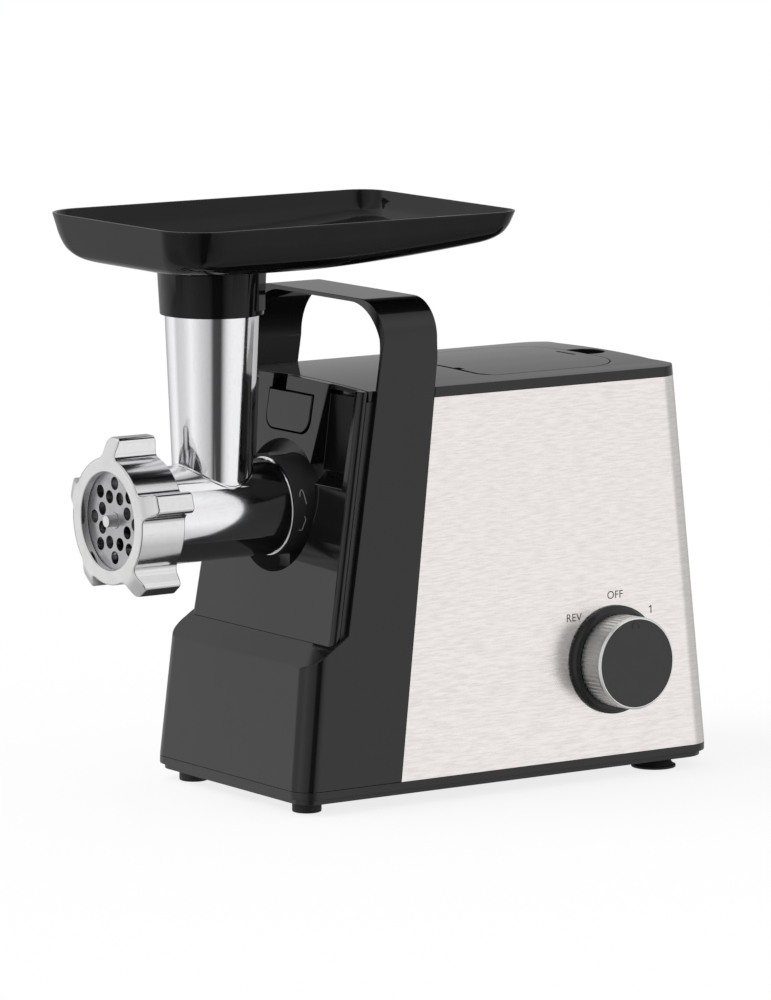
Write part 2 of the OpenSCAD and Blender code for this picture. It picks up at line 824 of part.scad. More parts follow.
module inner_housing() {
  front_foot = fascia_y(band_top) + fascia_d + fit_gap;
  front_top = fascia_y(cover_z) + fascia_d + fit_gap;
  inner = chassis_inset + wall;
  color([0.12, 0.12, 0.13]) seat()
    difference() {
      union() {
        difference() {
          union() {
            body_form(chassis_inset, band_top, cover_z, front_foot, front_top, 0);
            body_form(panel_inset, band_top, cover_z, steel_y(band_top) + fit_gap, steel_y(cover_z)
              + fit_gap, 0);
          }
          // the hollow, front and rear
          body_form(inner, band_top - 1, cover_z + 1, front_foot + wall - fascia_lean,
            front_top + wall + fascia_lean, 0);
          body_form(panel_inset + wall, band_top - 1, cover_z + 1, steel_y(band_top) + 4,
            steel_y(cover_z) + 4, 0);
          // window behind the fascia
          translate([-half_w(cover_z) + inner, -50, 112])
            cube([2 * (half_w(cover_z) - inner), 50 + bulkhead_y, far]);
        }
        // bulkhead across the housing
        intersection() {
          body_form(chassis_inset + 1, band_top, cover_z - 1, bulkhead_y, bulkhead_y, 0);
          along_y(bulkhead_y, bulkhead_y + bulkhead_t)
            translate([-far, 0]) square([2 * far, far]);
        }
        // bosses for the base screws
        for (p = screw_places) translate([p[0], p[1], band_top]) cylinder(r = 7, h = 22);
        // pedestals under the storage tub
        for (side = [-1, 1])
          translate([side * (half_w(tub_z) - panel_inset - 4.6) - 4, tub_rest_y, tub_z - 8])
            cube([8, 12, 8]);
      }
      head_rod(17, bulkhead_y - 1, bulkhead_y + 20);
      for (p = gearbox_ears) rod_y(2.1, bulkhead_y - 1, bulkhead_y + 20, p);
      for (p = socket_ears) rod_y(1.6, bulkhead_y - 1, bulkhead_y + 20, p);
      // slot for the release link
      translate([-6, bulkhead_y - 1, axis_z + spigot_r - 3])
        cube([12, 10, button_z + 18 - axis_z - spigot_r]);
      for (p = screw_places) translate([p[0], p[1], band_top - 1]) cylinder(r = 2.05, h = 19);
      at_knob() cylinder(r = 6, h = 30, center = true);
      translate([gland_x, body_depth, gland_z]) rotate([90, 0, 0])
        cylinder(r = 6, h = 40, center = true);
    }
}

module steel_wrap() {
  color([0.8, 0.79, 0.77]) seat()
    difference() {
      body_form(0, band_top, body_h, steel_y(band_top), steel_y(body_h), 0);
      body_form(steel_t, band_top - 1, body_h + 1, steel_y(band_top) - 9, steel_y(body_h) - 9, 0);
      at_knob() cylinder(r = 6.4, h = 20, center = true);
      translate([gland_x, body_depth, gland_z]) rotate([90, 0, 0])
        cylinder(r = 6.3, h = 40, center = true);
    }
}

// ---------------------------------------------------------------- top cover and storage

// Outline of the storage lid in plan, grown by a gap
module lid_outline(grow) {
  front = lid_front_y - grow;
  rear = lid_rear_y + grow;
  w = lid_half_w + grow;
  rear_r = 30;
  front_r = 12;
  translate([-w + front_r, front]) square([2 * (w - front_r), 40]);
  translate([-w, front + front_r]) square([2 * w, rear - front - front_r - rear_r]);
  translate([-w + rear_r, rear - 40]) square([2 * (w - rear_r), 40]);
  for (side = [-1, 1]) {
    translate([side * (w - front_r), front + front_r]) circle(front_r);
    translate([side * (w - rear_r), rear - rear_r]) circle(rear_r);
  }
}

module cover_form(inset, drop) {
  front = fascia_y(crown_z) + fascia_d + fit_gap + inset;
  top = crown_z + 1;
  intersection() {
    union() {
      body_form(chassis_inset + inset, cover_z, top, front, front, 0);
      body_form(inset, cover_z, top, steel_y(cover_z) + fit_gap + inset, steel_y(top) + fit_gap
        + inset, 0);
    }
    crown_form(drop);
  }
}

module top_cover() {
  rear_edge = rear_y(crown_z);
  color([0.08, 0.08, 0.085]) seat() {
    difference() {
      union() {
        difference() {
          cover_form(0, 0);
          translate([0, 0, -eps * 10]) cover_form(wall, wall);
        }
        // cup of the finger notch
        intersection() {
          translate([0, lid_rear_y + 6, crown_z - 5.4]) cylinder(r = 15, h = 20);
          crown_form(0);
        }
      }
      translate([0, 0, cover_z - 1]) linear_extrude(far) lid_outline(lid_gap);
      // soft top edge at the rear
      translate([0, rear_edge + 0.4, crown_z - crown_rise + 1.2])
        rotate([90, 0, 90])
          translate([0, 0, -far])
            linear_extrude(2 * far)
              difference() {
                translate([-5, -5]) square([12, 12]);
                translate([-5, -5]) circle(5);
              }
      // finger notch behind the lid
      translate([0, lid_rear_y + 6, crown_z - 3.8]) cylinder(r = 13, h = far);
    }
    // ears for the hinge pin
    difference() {
      for (side = [-1, 1])
        translate([side * 24 - 3, lid_front_y - 4, cover_z + 1.6])
          cube([6, 8.6, hinge_z - cover_z]);
      rod_x(hinge_pin_r + 0.02, -60, 60);
      rod_x_clear();
    }
  }
}

// The hinge axis of the lid
module rod_x(r, x0, x1) {
  translate([x0, hinge_y, hinge_z]) rotate([0, 90, 0]) cylinder(r = r, h = x1 - x0);
}

// Keeps the ears under the lid's barrel, except at the ears themselves
module rod_x_clear() {
  for (span = [[-60, -28], [-20, 20], [28, 60]]) rod_x(hinge_r + 0.4, span[0], span[1]);
}

module storage_lid() {
  color([0.1, 0.1, 0.105]) seat()
    difference() {
      union() {
        intersection() {
          translate([0, 0, cover_z]) linear_extrude(far) lid_outline(0);
          difference() {
            crown_form(0);
            crown_form(lid_t);
          }
          translate([-far, hinge_y - 1, 0]) cube([2 * far, far, far]);
        }
        rod_x(hinge_r, -lid_half_w + 14, lid_half_w - 14);
      }
      rod_x(hinge_pin_r + running_gap, -36, 36);
      // clipped front corners, which swing clear of the cover
      both_sides()
        translate([lid_half_w - 9.5, hinge_y - 1, cover_z - 1])
          linear_extrude(far) polygon([[0, -5], [0, 0], [9.5, 5.7], [20, 5.7], [20, -5]]);
      // room for the ears of the cover
      for (side = [-1, 1])
        translate([side * 24 - 3.4, lid_front_y - 10, cover_z - 5]) cube([6.8, 15.4, 14]);
      // finger slot near the rear edge
      translate([0, lid_rear_y - 8, 0]) linear_extrude(far) rounded(20, 2.4, 1.1);
    }
}

module lid_hinge_pin() {
  color([0.7, 0.7, 0.72]) seat() rod_x(hinge_pin_r, -34, 34);
}

tub_z = cover_z - tub_depth;
tub_mid_y = (lid_front_y + lid_rear_y) / 2 + 2;
tub_rest_y = tub_mid_y - 9;
module storage_tub() {
  color([0.16, 0.16, 0.17]) seat()
    difference() {
      union() {
        translate([0, 0, tub_z]) linear_extrude(tub_depth) offset_tub(0);
        translate([0, 0, cover_z - 2]) linear_extrude(2) offset_tub(5);
        for (side = [-1, 1])
          translate([side > 0 ? 0 : -half_w(tub_z) + panel_inset + 5, tub_rest_y + 2, tub_z])
            cube([half_w(tub_z) - panel_inset - 5, 8, 2]);
      }
      translate([0, 0, tub_z + 2]) linear_extrude(far) offset_tub(-2);
    }
}

// Plan of the tub, grown by g
module offset_tub(g) {
  translate([0, tub_mid_y])
    rounded(2 * (lid_half_w - 5 + g), lid_rear_y - lid_front_y - 12 + 2 * g, 10);
}

// ---------------------------------------------------------------- head socket

collar_r = tube_r + 0.6;
socket_ears = [for (a = [45, 135, 225, 315]) output_c + 34 * [cos(a), sin(a)]];

module head_socket() {
  back = bulkhead_y;
  color([0.06, 0.06, 0.065]) seat()
    difference() {
      union() {
        head_rod(collar_r, collar_front_y, back);
        head_rod(38.5, flange_y, back);
        // stop lug under the collar
        translate([-5.5, recess_floor_y - 8, axis_z - recess_r + 1.5])
          cube([11, 7.5, recess_r - tube_r + 2]);
      }
      head_rod(spigot_r + 0.15, -50, back + 1);
      head_rod(lug_r + 0.4, lug_y - 0.4, lug_y + lug_t + 0.5);
      // entry slots for the bayonet lugs, one step round from the locked place
      round_head(lug_count, 35)
        intersection() {
          head_rod(lug_r + 0.3, collar_front_y - 1, lug_y + 1);
          lug_sector(16);
        }
      for (p = socket_ears) {
        rod_y(1.6, flange_y - 1, back + 1, p);
        rod_y(3.2, flange_y - 1, flange_y + 1.4, p);
      }
      // passage of the release link and its pin
      translate([-4.4, flange_y - 0.2, axis_z + spigot_r - 1.8]) cube([8.8, 20, 30]);
      rod_y(2.3, lug_y, back + 1, [0, axis_z + (spigot_r + lug_r) / 2 + 0.4]);
    }
}

// A wedge about the head axis that opens half degrees to each side of straight up
module lug_sector(half) {
  translate([0, 0, axis_z])
    along_y(-50, 200)
      polygon([[0, 0], [60 * sin(-half), 60 * cos(half)], [0, 61], [60 * sin(half), 60 * cos(half)]]);
}

module socket_screws() {
  color([0.6, 0.6, 0.62]) seat()
    for (p = socket_ears) {
      rod_y(3, flange_y + 0.1, flange_y + 1.4, p);
      rod_y(1.5, flange_y + 0.1, case_y - 0.2, p);
    }
}

// ---------------------------------------------------------------- grinding head

module grinder_head() {
  color([0.83, 0.83, 0.84]) seat()
    difference() {
      union() {
        head_rod(tube_r, ring_back_y - 4, tube_rear_y);
        head_rod(thread_r, casting_front_y, ring_back_y - 2);
        head_rod(spigot_r, tube_rear_y - 1, spigot_end_y);
        // bayonet lugs
        round_head(lug_count, 0)
          intersection() {
            head_rod(lug_r, lug_y, lug_y + lug_t);
            lug_sector(12);
          }
        // feed tube: a cone with a straight end for the tray
        translate([0, feed_y, axis_z]) cylinder(r = feed_foot_r, h = tube_r);
        translate([0, feed_y, axis_z + tube_r * 0.7])
          cylinder(r1 = feed_foot_r, r2 = feed_top_r, h = collar_z - axis_z - tube_r * 0.7);
        translate([0, feed_y, collar_z - eps])
          cylinder(r = feed_top_r, h = feed_top_z - collar_z + eps);
      }
      head_rod(bore_r, ring_face_y - 1, rear_wall_y);
      head_rod(plate_r + 0.1, ring_face_y - 1, plate_back_y);
      head_rod(journal_r + bush_wall, -50, far);
      head_rod(spigot_r - 5, rear_wall_y + rear_wall_t, far);
      translate([0, feed_y, axis_z])
        cylinder(r1 = feed_foot_r - tube_wall, r2 = throat_r, h = feed_top_z - axis_z + 1);
    }
}

collar_z = 296.5;

module auger_bush() {
  color([0.75, 0.6, 0.35]) seat()
    difference() {
      union() {
        head_rod(journal_r + bush_wall - 0.02, rear_wall_y - 2, rear_wall_y + rear_wall_t);
        head_rod(journal_r + bush_wall + 3, rear_wall_y - 2, rear_wall_y - 0.02);
      }
      head_rod(journal_r + running_gap, -50, far);
    }
}

// Section of the auger's single flight, as a blade from the core to the rim
module flight_section() {
  rim = bore_r - flight_gap;
  foot = core_r - 1;
  polygon(concat(
    [for (a = [-34 : 17 : 34]) polar(foot, a)],
    [for (a = [20 : -10 : -20]) polar(rim, a)]
  ));
}

module auger() {
  front = knife_back_y + 0.4;
  back = rear_wall_y - 2.3;
  color([0.78, 0.78, 0.79]) seat() {
    translate([0, back, axis_z])
      rotate([90, 0, 0])
        linear_extrude(back - front, twist = -360 * (back - front) / flight_pitch,
          slices = round((back - front) / flight_pitch * 16))
          flight_section();
    head_rod(core_r, front, back);
    head_rod(journal_r, back - 1, rear_wall_y + rear_wall_t + 0.8);
    head_rod(journal_r - 2, rear_wall_y + rear_wall_t, cup_y - 2);
    translate([-knife_sq / 2, knife_front_y - 0.1, axis_z - knife_sq / 2])
      cube([knife_sq, knife_t + 1, knife_sq]);
    head_rod(pin_r, tip_y, front + 1);
  }
}

module hexagon(af) {
  circle(r = af / 2 / cos(30), $fn = 6);
}

module drive_coupling() {
  y0 = rear_wall_y + rear_wall_t + 1;
  color([0.9, 0.88, 0.8]) seat()
    difference() {
      union() {
        head_rod(journal_r + 5, y0, cup_y - 0.6);
        translate([0, 0, axis_z]) along_y(y0, cup_y + cup_d - 2) hexagon(hex_af);
      }
      head_rod(journal_r - 2 + 0.02, -50, cup_y - 1.9);
    }
}

module cross_knife() {
  color([0.7, 0.7, 0.72]) seat()
    difference() {
      intersection() {
        union() {
          head_rod(9, knife_front_y, knife_back_y);
          round_head(4, 0)
            translate([0, 0, axis_z])
              along_y(knife_front_y, knife_front_y + 4.2)
                polygon([
                  [-3, 6], [-5.5, bore_r - 3], [-3.2, bore_r - 1.4], [3.4, bore_r - 1.4], [5, 6]
                ]);
        }
        head_rod(bore_r - 1.2, knife_front_y - 1, knife_back_y + 1);
      }
      translate([-knife_sq / 2 - 0.1, knife_front_y - 1, axis_z - knife_sq / 2 - 0.1])
        cube([knife_sq + 0.2, knife_t + 2, knife_sq + 0.2]);
    }
}

module grinding_plate() {
  color([0.72, 0.72, 0.74]) seat()
    difference() {
      union() {
        head_rod(plate_r, plate_y, plate_back_y);
        head_rod(pin_r + 1.4, plate_y - 0.7, plate_y + 1);
      }
      for (i = [0 : 7]) {
        rod_y(plate_hole_r, plate_y - 1, plate_back_y + 1, output_c + polar(plate_outer_r, i * 45));
        rod_y(plate_hole_r, plate_y - 1, plate_back_y + 1, output_c
          + polar(plate_inner_r, i * 45 + 22.5));
      }
      head_rod(pin_r + running_gap, plate_y - 2, plate_back_y + 1);
    }
}

// Plan of the locking ring: a disc with lobes that flow into it
module ring_outline() {
  offset(r = -5, $fn = 28)
    offset(r = 5, $fn = 28) {
      circle(ring_r);
      for (i = [0 : lobe_count - 1])
        rotate(90 + i * 360 / lobe_count)
          translate([lobe_r - 5, 0]) {
            translate([-20, -6.5]) square([22, 13]);
            for (side = [-1, 1]) translate([1.5, side * 3]) circle(3.5);
          }
    }
}

module locking_ring() {
  lobe_front = ring_face_y + 6;
  color([0.82, 0.82, 0.83]) seat()
    difference() {
      intersection() {
        union() {
          translate([0, 0, axis_z]) along_y(ring_face_y, ring_back_y - 1.8) ring_outline();
          head_rod(ring_r, ring_face_y, ring_back_y);
        }
        // the lobes fall back from the front face
        union() {
          translate([0, lobe_front, axis_z])
            rotate([90, 0, 0])
              cylinder(r1 = lobe_r + 2, r2 = ring_r - 0.5, h = lobe_front - ring_face_y);
          head_rod(lobe_r + 2, lobe_front, ring_back_y);
        }
      }
      head_rod(ring_open_r, ring_face_y - 1, far);
      head_rod(plate_r + 0.15, plate_y - 0.1, far);
      head_rod(thread_r + 0.08, casting_front_y - 0.6, far);
    }
}

// ---------------------------------------------------------------- hopper tray

// Depth of the tray at y, as a share of its depth at the front
function tray_share(y) =
  let (t = max(0, y - 20) / (tray_rear_y - 20))
  1 - (1 - tray_rear_d / tray_front_d) * pow(t, 1.53);

// One level of the tray: discs round the plan at a share of the depth below the rim
module tray_level(share, draw, grow, lift) {
  x = tray_w / 2 - draw + grow;
  y0 = tray_front_y + 0.8 * draw - grow;
  y1 = tray_rear_y - 0.6 * draw + grow;
  r0 = max(14, tray_corner_r - 0.5 * draw + grow);
  r1 = max(12, tray_rear_corner_r - 0.3 * draw + grow);
  discs = [[y0 + r0, r0], [20, r0], [56, r0], [90, r0], [y1 - r1, r1]];
  for (side = [-1, 1], d = discs)
    translate([side * (x - d[1]), d[0], tray_rim_z - share * tray_front_d * tray_share(d[0])
      + lift - 0.1])
      cylinder(r = d[1], h = 0.1, $fn = 32);
}

module tray_form(grow, lift) {
  hull() {
    tray_level(0, 0, grow, 0);
    if (grow < 0) tray_level(0, -0.5, grow, 9);
    tray_level(0.46, 4.2, grow, lift);
    tray_level(0.71, 8.8, grow, lift);
    tray_level(0.87, 17, grow, lift);
    tray_level(0.97, 33, grow, lift);
    tray_level(1, 48, grow, lift);
  }
}

module hopper_tray() {
  floor_z = tray_rim_z - tray_front_d;
  color([0.06, 0.06, 0.065]) seat()
    difference() {
      union() {
        difference() {
          tray_form(0, 0);
          tray_form(-tray_t, tray_t);
        }
        translate([0, feed_y, collar_z])
          cylinder(r1 = feed_top_r + 2.9, r2 = feed_top_r + 4.6, h = floor_z - collar_z + 1.5);
        // key beside the collar
        translate([0, feed_y, collar_z])
          rotate(32)
            translate([feed_top_r, -5, 3]) cube([4.6, 10, floor_z - collar_z - 2]);
      }
      translate([0, feed_y, collar_z - 1])
        cylinder(r = feed_top_r + 0.12, h = feed_top_z - collar_z + 1.2);
      translate([0, feed_y, collar_z - 1]) cylinder(r = throat_r, h = far);
    }
}

// ---------------------------------------------------------------- switch and knob

// Frame of the knob: z along the panel's normal, from the panel outwards
module at_knob() {
  translate([half_w(knob_z), knob_y, knob_z]) rotate([0, 90 - tilt, 0]) children();
}

flange_t = 4;
module knob_flange() {
  color([0.07, 0.07, 0.07]) seat()
    at_knob()
      difference() {
        union() {
          translate([0, 0, 0.05]) cylinder(r = flange_r, h = 1.6);
          translate([0, 0, 1.6]) cylinder(r1 = flange_r, r2 = flange_r - 2, h = flange_t - 1.6);
        }
        cylinder(r = 6.4, h = 20, center = true);
      }
}

module knob_skirt() {
  grip = 0.55;
  foot = flange_t + 0.4;
  color([0.62, 0.62, 0.64]) seat()
    at_knob()
      difference() {
        union() {
          translate([0, 0, foot])
            linear_extrude(knob_h - foot - 2.4)
              polygon([
                for (i = [0 : grip_count - 1]) each [
                  polar(knob_r - grip, (i - 0.3) * 360 / grip_count),
                  polar(knob_r - 0.1, (i - 0.15) * 360 / grip_count),
                  polar(knob_r - 0.1, (i + 0.15) * 360 / grip_count),
                  polar(knob_r - grip, (i + 0.3) * 360 / grip_count)
                ]
              ]);
          translate([0, 0, knob_h - 2.5]) cylinder(r = knob_r, h = 1.5);
          translate([0, 0, knob_h - 1]) cylinder(r1 = knob_r, r2 = knob_r - knob_edge, h = 1);
        }
        translate([0, 0, knob_h - 1.2]) cylinder(r = knob_r - 1.4, h = 5);
        difference() {
          translate([0, 0, -1]) cylinder(r = knob_r - 3, h = knob_h - 3.6);
          cylinder(r = 7, h = far);
        }
        translate([0, 0, -1]) cylinder(r = 3.02, h = knob_h - 6);
      }
}

module knob_face() {
  color([0.12, 0.12, 0.13]) seat()
    at_knob() {
      translate([0, 0, knob_h - 1.2]) cylinder(r = knob_r - 1.45, h = 0.8);
      // raised pointer near the edge
      translate([-(knob_r - 6), 0, knob_h - 0.5])
        rotate([0, 0, 180])
          linear_extrude(0.45)
            intersection() {
              difference() {
                circle(3.2);
                circle(2.1);
              }
              translate([-1, -5]) square([10, 10]);
            }
    }
}

module rotary_switch() {
  color([0.2, 0.2, 0.22]) seat()
    at_knob()
      difference() {
        union() {
          translate([-14, -14, -27]) cube([28, 28, 27 - panel_inset - wall - 0.1]);
          translate([0, 0, -6]) cylinder(r = 5.8, h = 8);
          for (x = [-8, 0, 8]) translate([x - 2.2, -0.5, -33]) cube([4.4, 1, 7]);
        }
        translate([0, 0, -20]) cylinder(r = 3 + running_gap, h = 40);
      }
}

module switch_shaft() {
  color([0.85, 0.85, 0.82]) seat() at_knob() translate([0, 0, -19]) cylinder(r = 3, h = 19 + knob_h - 8);
}

// ---------------------------------------------------------------- motor

module motor_rod(r, y0, y1) {
  rod_y(r, y0, y1, motor_c);
}

module motor_box(x0, x1, y0, y1, z0, z1) {
  translate([x0, y0, motor_c[1] + z0]) cube([x1 - x0, y1 - y0, z1 - z0]);
}

module motor_stator() {
  color([0.45, 0.46, 0.48]) seat()
    difference() {
      translate([0, 0, motor_c[1]])
        along_y(stack_y, stack_y + stack_l)
          rounded(stack_w, stack_h, 14);
      motor_rod(stack_bore_r, stack_y - 1, stack_y + stack_l + 1);
      for (side = [-1, 1], end = [-1, 1])
        translate([side * (coil_x + coil_t / 2), stack_y - 1, motor_c[1] + end * (coil_in + coil_out)
          / 2])
          translate([-coil_t / 2 - 0.3, 0, -(coil_out - coil_in) / 2 - 0.3])
            cube([coil_t + 0.6, stack_l + 2, coil_out - coil_in + 0.6]);
      for (side = [-1, 1]) rod_y(2, stack_y - 1, stack_y + stack_l + 1, motor_c + [side * bolt_x, 0]);
    }
}

module field_coils() {
  y0 = stack_y - coil_end - 0.3;
  y1 = stack_y + stack_l + coil_end + 0.3;
  color([0.72, 0.4, 0.2]) seat()
    both_sides()
      difference() {
        motor_box(coil_x, coil_x + coil_t, y0, y1, -coil_out, coil_out);
        motor_box(coil_x - 1, coil_x + coil_t + 1, stack_y - 0.3, stack_y + stack_l + 0.3, -coil_in,
          coil_in);
      }
}

module rotor_core() {
  color([0.4, 0.41, 0.43]) seat()
    difference() {
      motor_rod(core_out_r, stack_y + 1, stack_y + stack_l - 1);
      motor_rod(motor_shaft_r + 0.02, stack_y, stack_y + stack_l);
      for (i = [0 : 11])
        translate([0, stack_y, motor_c[1]])
          rotate([0, i * 30, 0])
            translate([-1, 0, core_out_r - 3]) cube([2, stack_l, 5]);
    }
}

module rotor_windings() {
  color([0.75, 0.42, 0.2]) seat()
    for (span = [[stack_y - 6, stack_y + 0.9], [stack_y + stack_l - 0.9, stack_y + stack_l + 6]])
      difference() {
        motor_rod(core_out_r - 4, span[0], span[1]);
        motor_rod(motor_shaft_r + 0.02, span[0] - 1, span[1] + 1);
      }
}

module rotor_shaft() {
  color([0.75, 0.75, 0.76]) seat() motor_rod(motor_shaft_r, first_gear_y - 0.5, motor_back_y + 7);
}

module commutator() {
  color([0.78, 0.5, 0.3]) seat()
    difference() {
      motor_rod(commutator_r, commutator_y, commutator_y + commutator_l);
      motor_rod(motor_shaft_r + 0.02, commutator_y - 1, commutator_y + commutator_l + 1);
    }
}

module motor_fan() {
  color([0.2, 0.25, 0.35]) seat() {
    difference() {
      union() {
        motor_rod(fan_r, fan_y, fan_y + 1.6);
        motor_rod(8, fan_y, fan_y + fan_t);
      }
      motor_rod(motor_shaft_r + 0.02, fan_y - 1, fan_y + fan_t + 1);
    }
    for (i = [0 : 9])
      translate([0, fan_y + 1, motor_c[1]])
        rotate([0, i * 36, 0])
          translate([-0.8, 0, 7.5]) cube([1.6, fan_t - 1, fan_r - 9]);
  }
}

module motor_pinion() {
  color([0.7, 0.7, 0.72]) seat()
    gear(first_module, pinion_teeth, motor_c, first_gear_y - 0.5, first_gear_t + 1, first_dir + 180,
      motor_shaft_r, 0);
}

bearing_spans = [[motor_front_y, motor_front_y + bracket_t], [motor_back_y, motor_back_y + bracket_t]];

module motor_bearings() {
  color([0.8, 0.8, 0.82]) seat()
    for (span = bearing_spans)
      difference() {
        motor_rod(bearing_r - 0.02, span[0], span[1]);
        motor_rod(motor_shaft_r + running_gap, span[0] - 1, span[1] + 1);
      }
}

// A bar across one end of the motor with a bearing seat and legs to the stack
module motor_bracket(span, leg0, leg1) {
  color([0.65, 0.66, 0.68]) seat()
    difference() {
      union() {
        motor_box(-bolt_x - 4, bolt_x + 4, span[0], span[1], -8, 8);
        motor_rod(bearing_r + 3, span[0], span[1]);
        for (side = [-1, 1]) rod_y(3.5, leg0, leg1, motor_c + [side * bolt_x, 0]);
      }
      motor_rod(bearing_r, span[0] - 1, span[1] + 1);
    }
}

module front_bracket() {
  motor_bracket(bearing_spans[0], motor_front_y, stack_y);
}

module rear_bracket() {
  motor_bracket(bearing_spans[1], stack_y + stack_l, motor_back_y + 1);
}

module brush_holders() {
  y0 = commutator_y + 2;
  color([0.35, 0.22, 0.12]) seat()
    both_sides()
      difference() {
        motor_box(commutator_r + 2, commutator_r + 17, y0, motor_back_y, -6, 6);
        motor_box(commutator_r, commutator_r + 16, y0 + 2, y0 + 9.2, -3.6, 3.6);
      }
}

module carbon_brushes() {
  y0 = commutator_y + 2;
  color([0.15, 0.15, 0.15]) seat()
    both_sides()
      motor_box(commutator_r + 0.2, commutator_r + 15.8, y0 + 2.1, y0 + 9.1, -3.5, 3.5);
}

// ---------------------------------------------------------------- gearbox

gearbox_ears = [
  output_c + polar(52, 44), output_c + polar(52, 136), second_c + polar(40, -38),
  first_c + polar(36, 215)
];

// Plan of the gearbox: a lobe about each gear, grown by a wall
module gearbox_outline(grow) {
  translate(output_c) circle(output_module * output_teeth / 2 + 3.6 + grow);
  translate(second_c) circle(second_module * second_teeth / 2 + 3 + grow);
  translate(first_c) circle(first_module * first_teeth / 2 + 3 + grow);
  translate(motor_c) circle(9 + grow);
}

module gearbox_case() {
  color([0.7, 0.71, 0.72]) seat()
    difference() {
      union() {
        along_y(case_y, cover_y) gearbox_outline(wall);
        for (p = gearbox_ears) rod_y(5.5, case_y, cover_y, p);
      }
      along_y(case_y + case_wall, cover_y + 1) gearbox_outline(0);
      for (p = gearbox_ears) rod_y(2.1, case_y - 1, cover_y + 1, p);
      head_rod(spindle_r + 4, case_y - 1, cover_y);
      rod_y(first_shaft_r + 2.5, case_y - 1, cover_y, first_c);
      rod_y(second_shaft_r + 2.5, case_y - 1, cover_y, second_c);
      // flat beside the slot for the release link
      translate([-5, case_y - 1, axis_z + 28]) cube([10, 1.3, 40]);
    }
}

module gearbox_cover() {
  y1 = cover_y + cover_t;
  color([0.66, 0.67, 0.68]) seat()
    difference() {
      union() {
        along_y(cover_y, y1) gearbox_outline(wall);
        for (p = gearbox_ears) rod_y(5.5, cover_y, y1, p);
        for (side = [-1, 1]) {
          rod_y(5, cover_y, motor_front_y, motor_c + [side * bolt_x, 0]);
          translate([side > 0 ? 0 : -bolt_x, cover_y, motor_c[1] - 5]) cube([bolt_x, cover_t, 10]);
        }
      }
      for (p = gearbox_ears) rod_y(2.1, cover_y - 1, y1 + 1, p);
      head_rod(spindle_rear_r + 3, cover_y - 1, y1 + 1);
      rod_y(first_shaft_r + 2.5, cover_y - 1, y1 + 1, first_c);
      rod_y(second_shaft_r + 2.5, cover_y - 1, y1 + 1, second_c);
      motor_rod(motor_shaft_r + 3, cover_y - 1, y1 + 10);
    }
}

module gearbox_screws() {
  color([0.6, 0.6, 0.62]) seat()
    for (p = gearbox_ears) {
      rod_y(2, bulkhead_y + 0.5, cover_y + cover_t + 1, p);
      rod_y(4, cover_y + cover_t, cover_y + cover_t + 3, p);
    }
}

module output_gear() {
  color([0.86, 0.84, 0.76]) seat()
    gear(output_module, output_teeth, output_c, output_gear_y, output_gear_t, output_dir
      + 180 / output_teeth, spindle_r, 3);
}

module output_spindle() {
  color([0.72, 0.72, 0.74]) seat()
    difference() {
      union() {
        head_rod(cup_r, cup_y, bulkhead_y - 1.5);
        head_rod(spindle_r, bulkhead_y - 2, output_gear_y + output_gear_t + 1);
        head_rod(spindle_rear_r, output_gear_y + output_gear_t, cover_y + cover_t);
      }
      translate([0, 0, axis_z]) along_y(cup_y - 1, cup_y + cup_d) hexagon(hex_af + 2 * hex_gap);
    }
}

module bush(c, shaft, y0, y1, thick) {
  difference() {
    rod_y(shaft + thick - 0.02, y0, y1, c);
    rod_y(shaft + running_gap, y0 - 1, y1 + 1, c);
  }
}

module output_bush() {
  color([0.75, 0.6, 0.35]) seat() bush(output_c, spindle_r, bulkhead_y + 0.5, case_y + case_wall, 4);
}

module gear_bushes() {
  color([0.75, 0.6, 0.35]) seat() {
    bush(output_c, spindle_rear_r, cover_y, cover_y + cover_t, 3);
    for (y = [case_y + 0.5, cover_y]) {
      bush(first_c, first_shaft_r, y, y + 3.5, 2.5);
      bush(second_c, second_shaft_r, y, y + 3.5, 2.5);
    }
  }
}

module first_gear() {
  color([0.86, 0.84, 0.76]) seat()
    gear(first_module, first_teeth, first_c, first_gear_y, first_gear_t, first_dir
      + 180 / first_teeth, first_shaft_r, 2);
}

module first_pinion() {
  color([0.7, 0.7, 0.72]) seat()
    gear(second_module, pinion_teeth, first_c, second_gear_y - 0.5, second_gear_t + 1, second_dir
      + 180, first_shaft_r, 0);
}

module first_shaft() {
  color([0.75, 0.75, 0.76]) seat()
    rod_y(first_shaft_r, case_y + 0.5, cover_y + cover_t - 0.5, first_c);
}

module second_gear() {
  color([0.86, 0.84, 0.76]) seat()
    gear(second_module, second_teeth, second_c, second_gear_y, second_gear_t, second_dir
      + 180 / second_teeth, second_shaft_r, 2.5);
}

module second_pinion() {
  color([0.7, 0.7, 0.72]) seat()
    gear(output_module, pinion_teeth, second_c, output_gear_y - 0.5, output_gear_t + 1, output_dir
      + 180, second_shaft_r, 0);
}

module second_shaft() {
  color([0.75, 0.75, 0.76]) seat()
    rod_y(second_shaft_r, case_y + 0.5, cover_y + cover_t - 0.5, second_c);
}

module cord_gland() {
  face = rear_y(gland_z);
  color([0.08, 0.08, 0.08]) seat()
    difference() {
      union() {
        rod_y(8, face + 0.7, gland_end_y, [gland_x, gland_z]);
        rod_y(5.8, face - 8, face + 1, [gland_x, gland_z]);
      }
      rod_y(3.8, face - 20, far, [gland_x, gland_z]);
    }
}

// ---------------------------------------------------------------- nodes

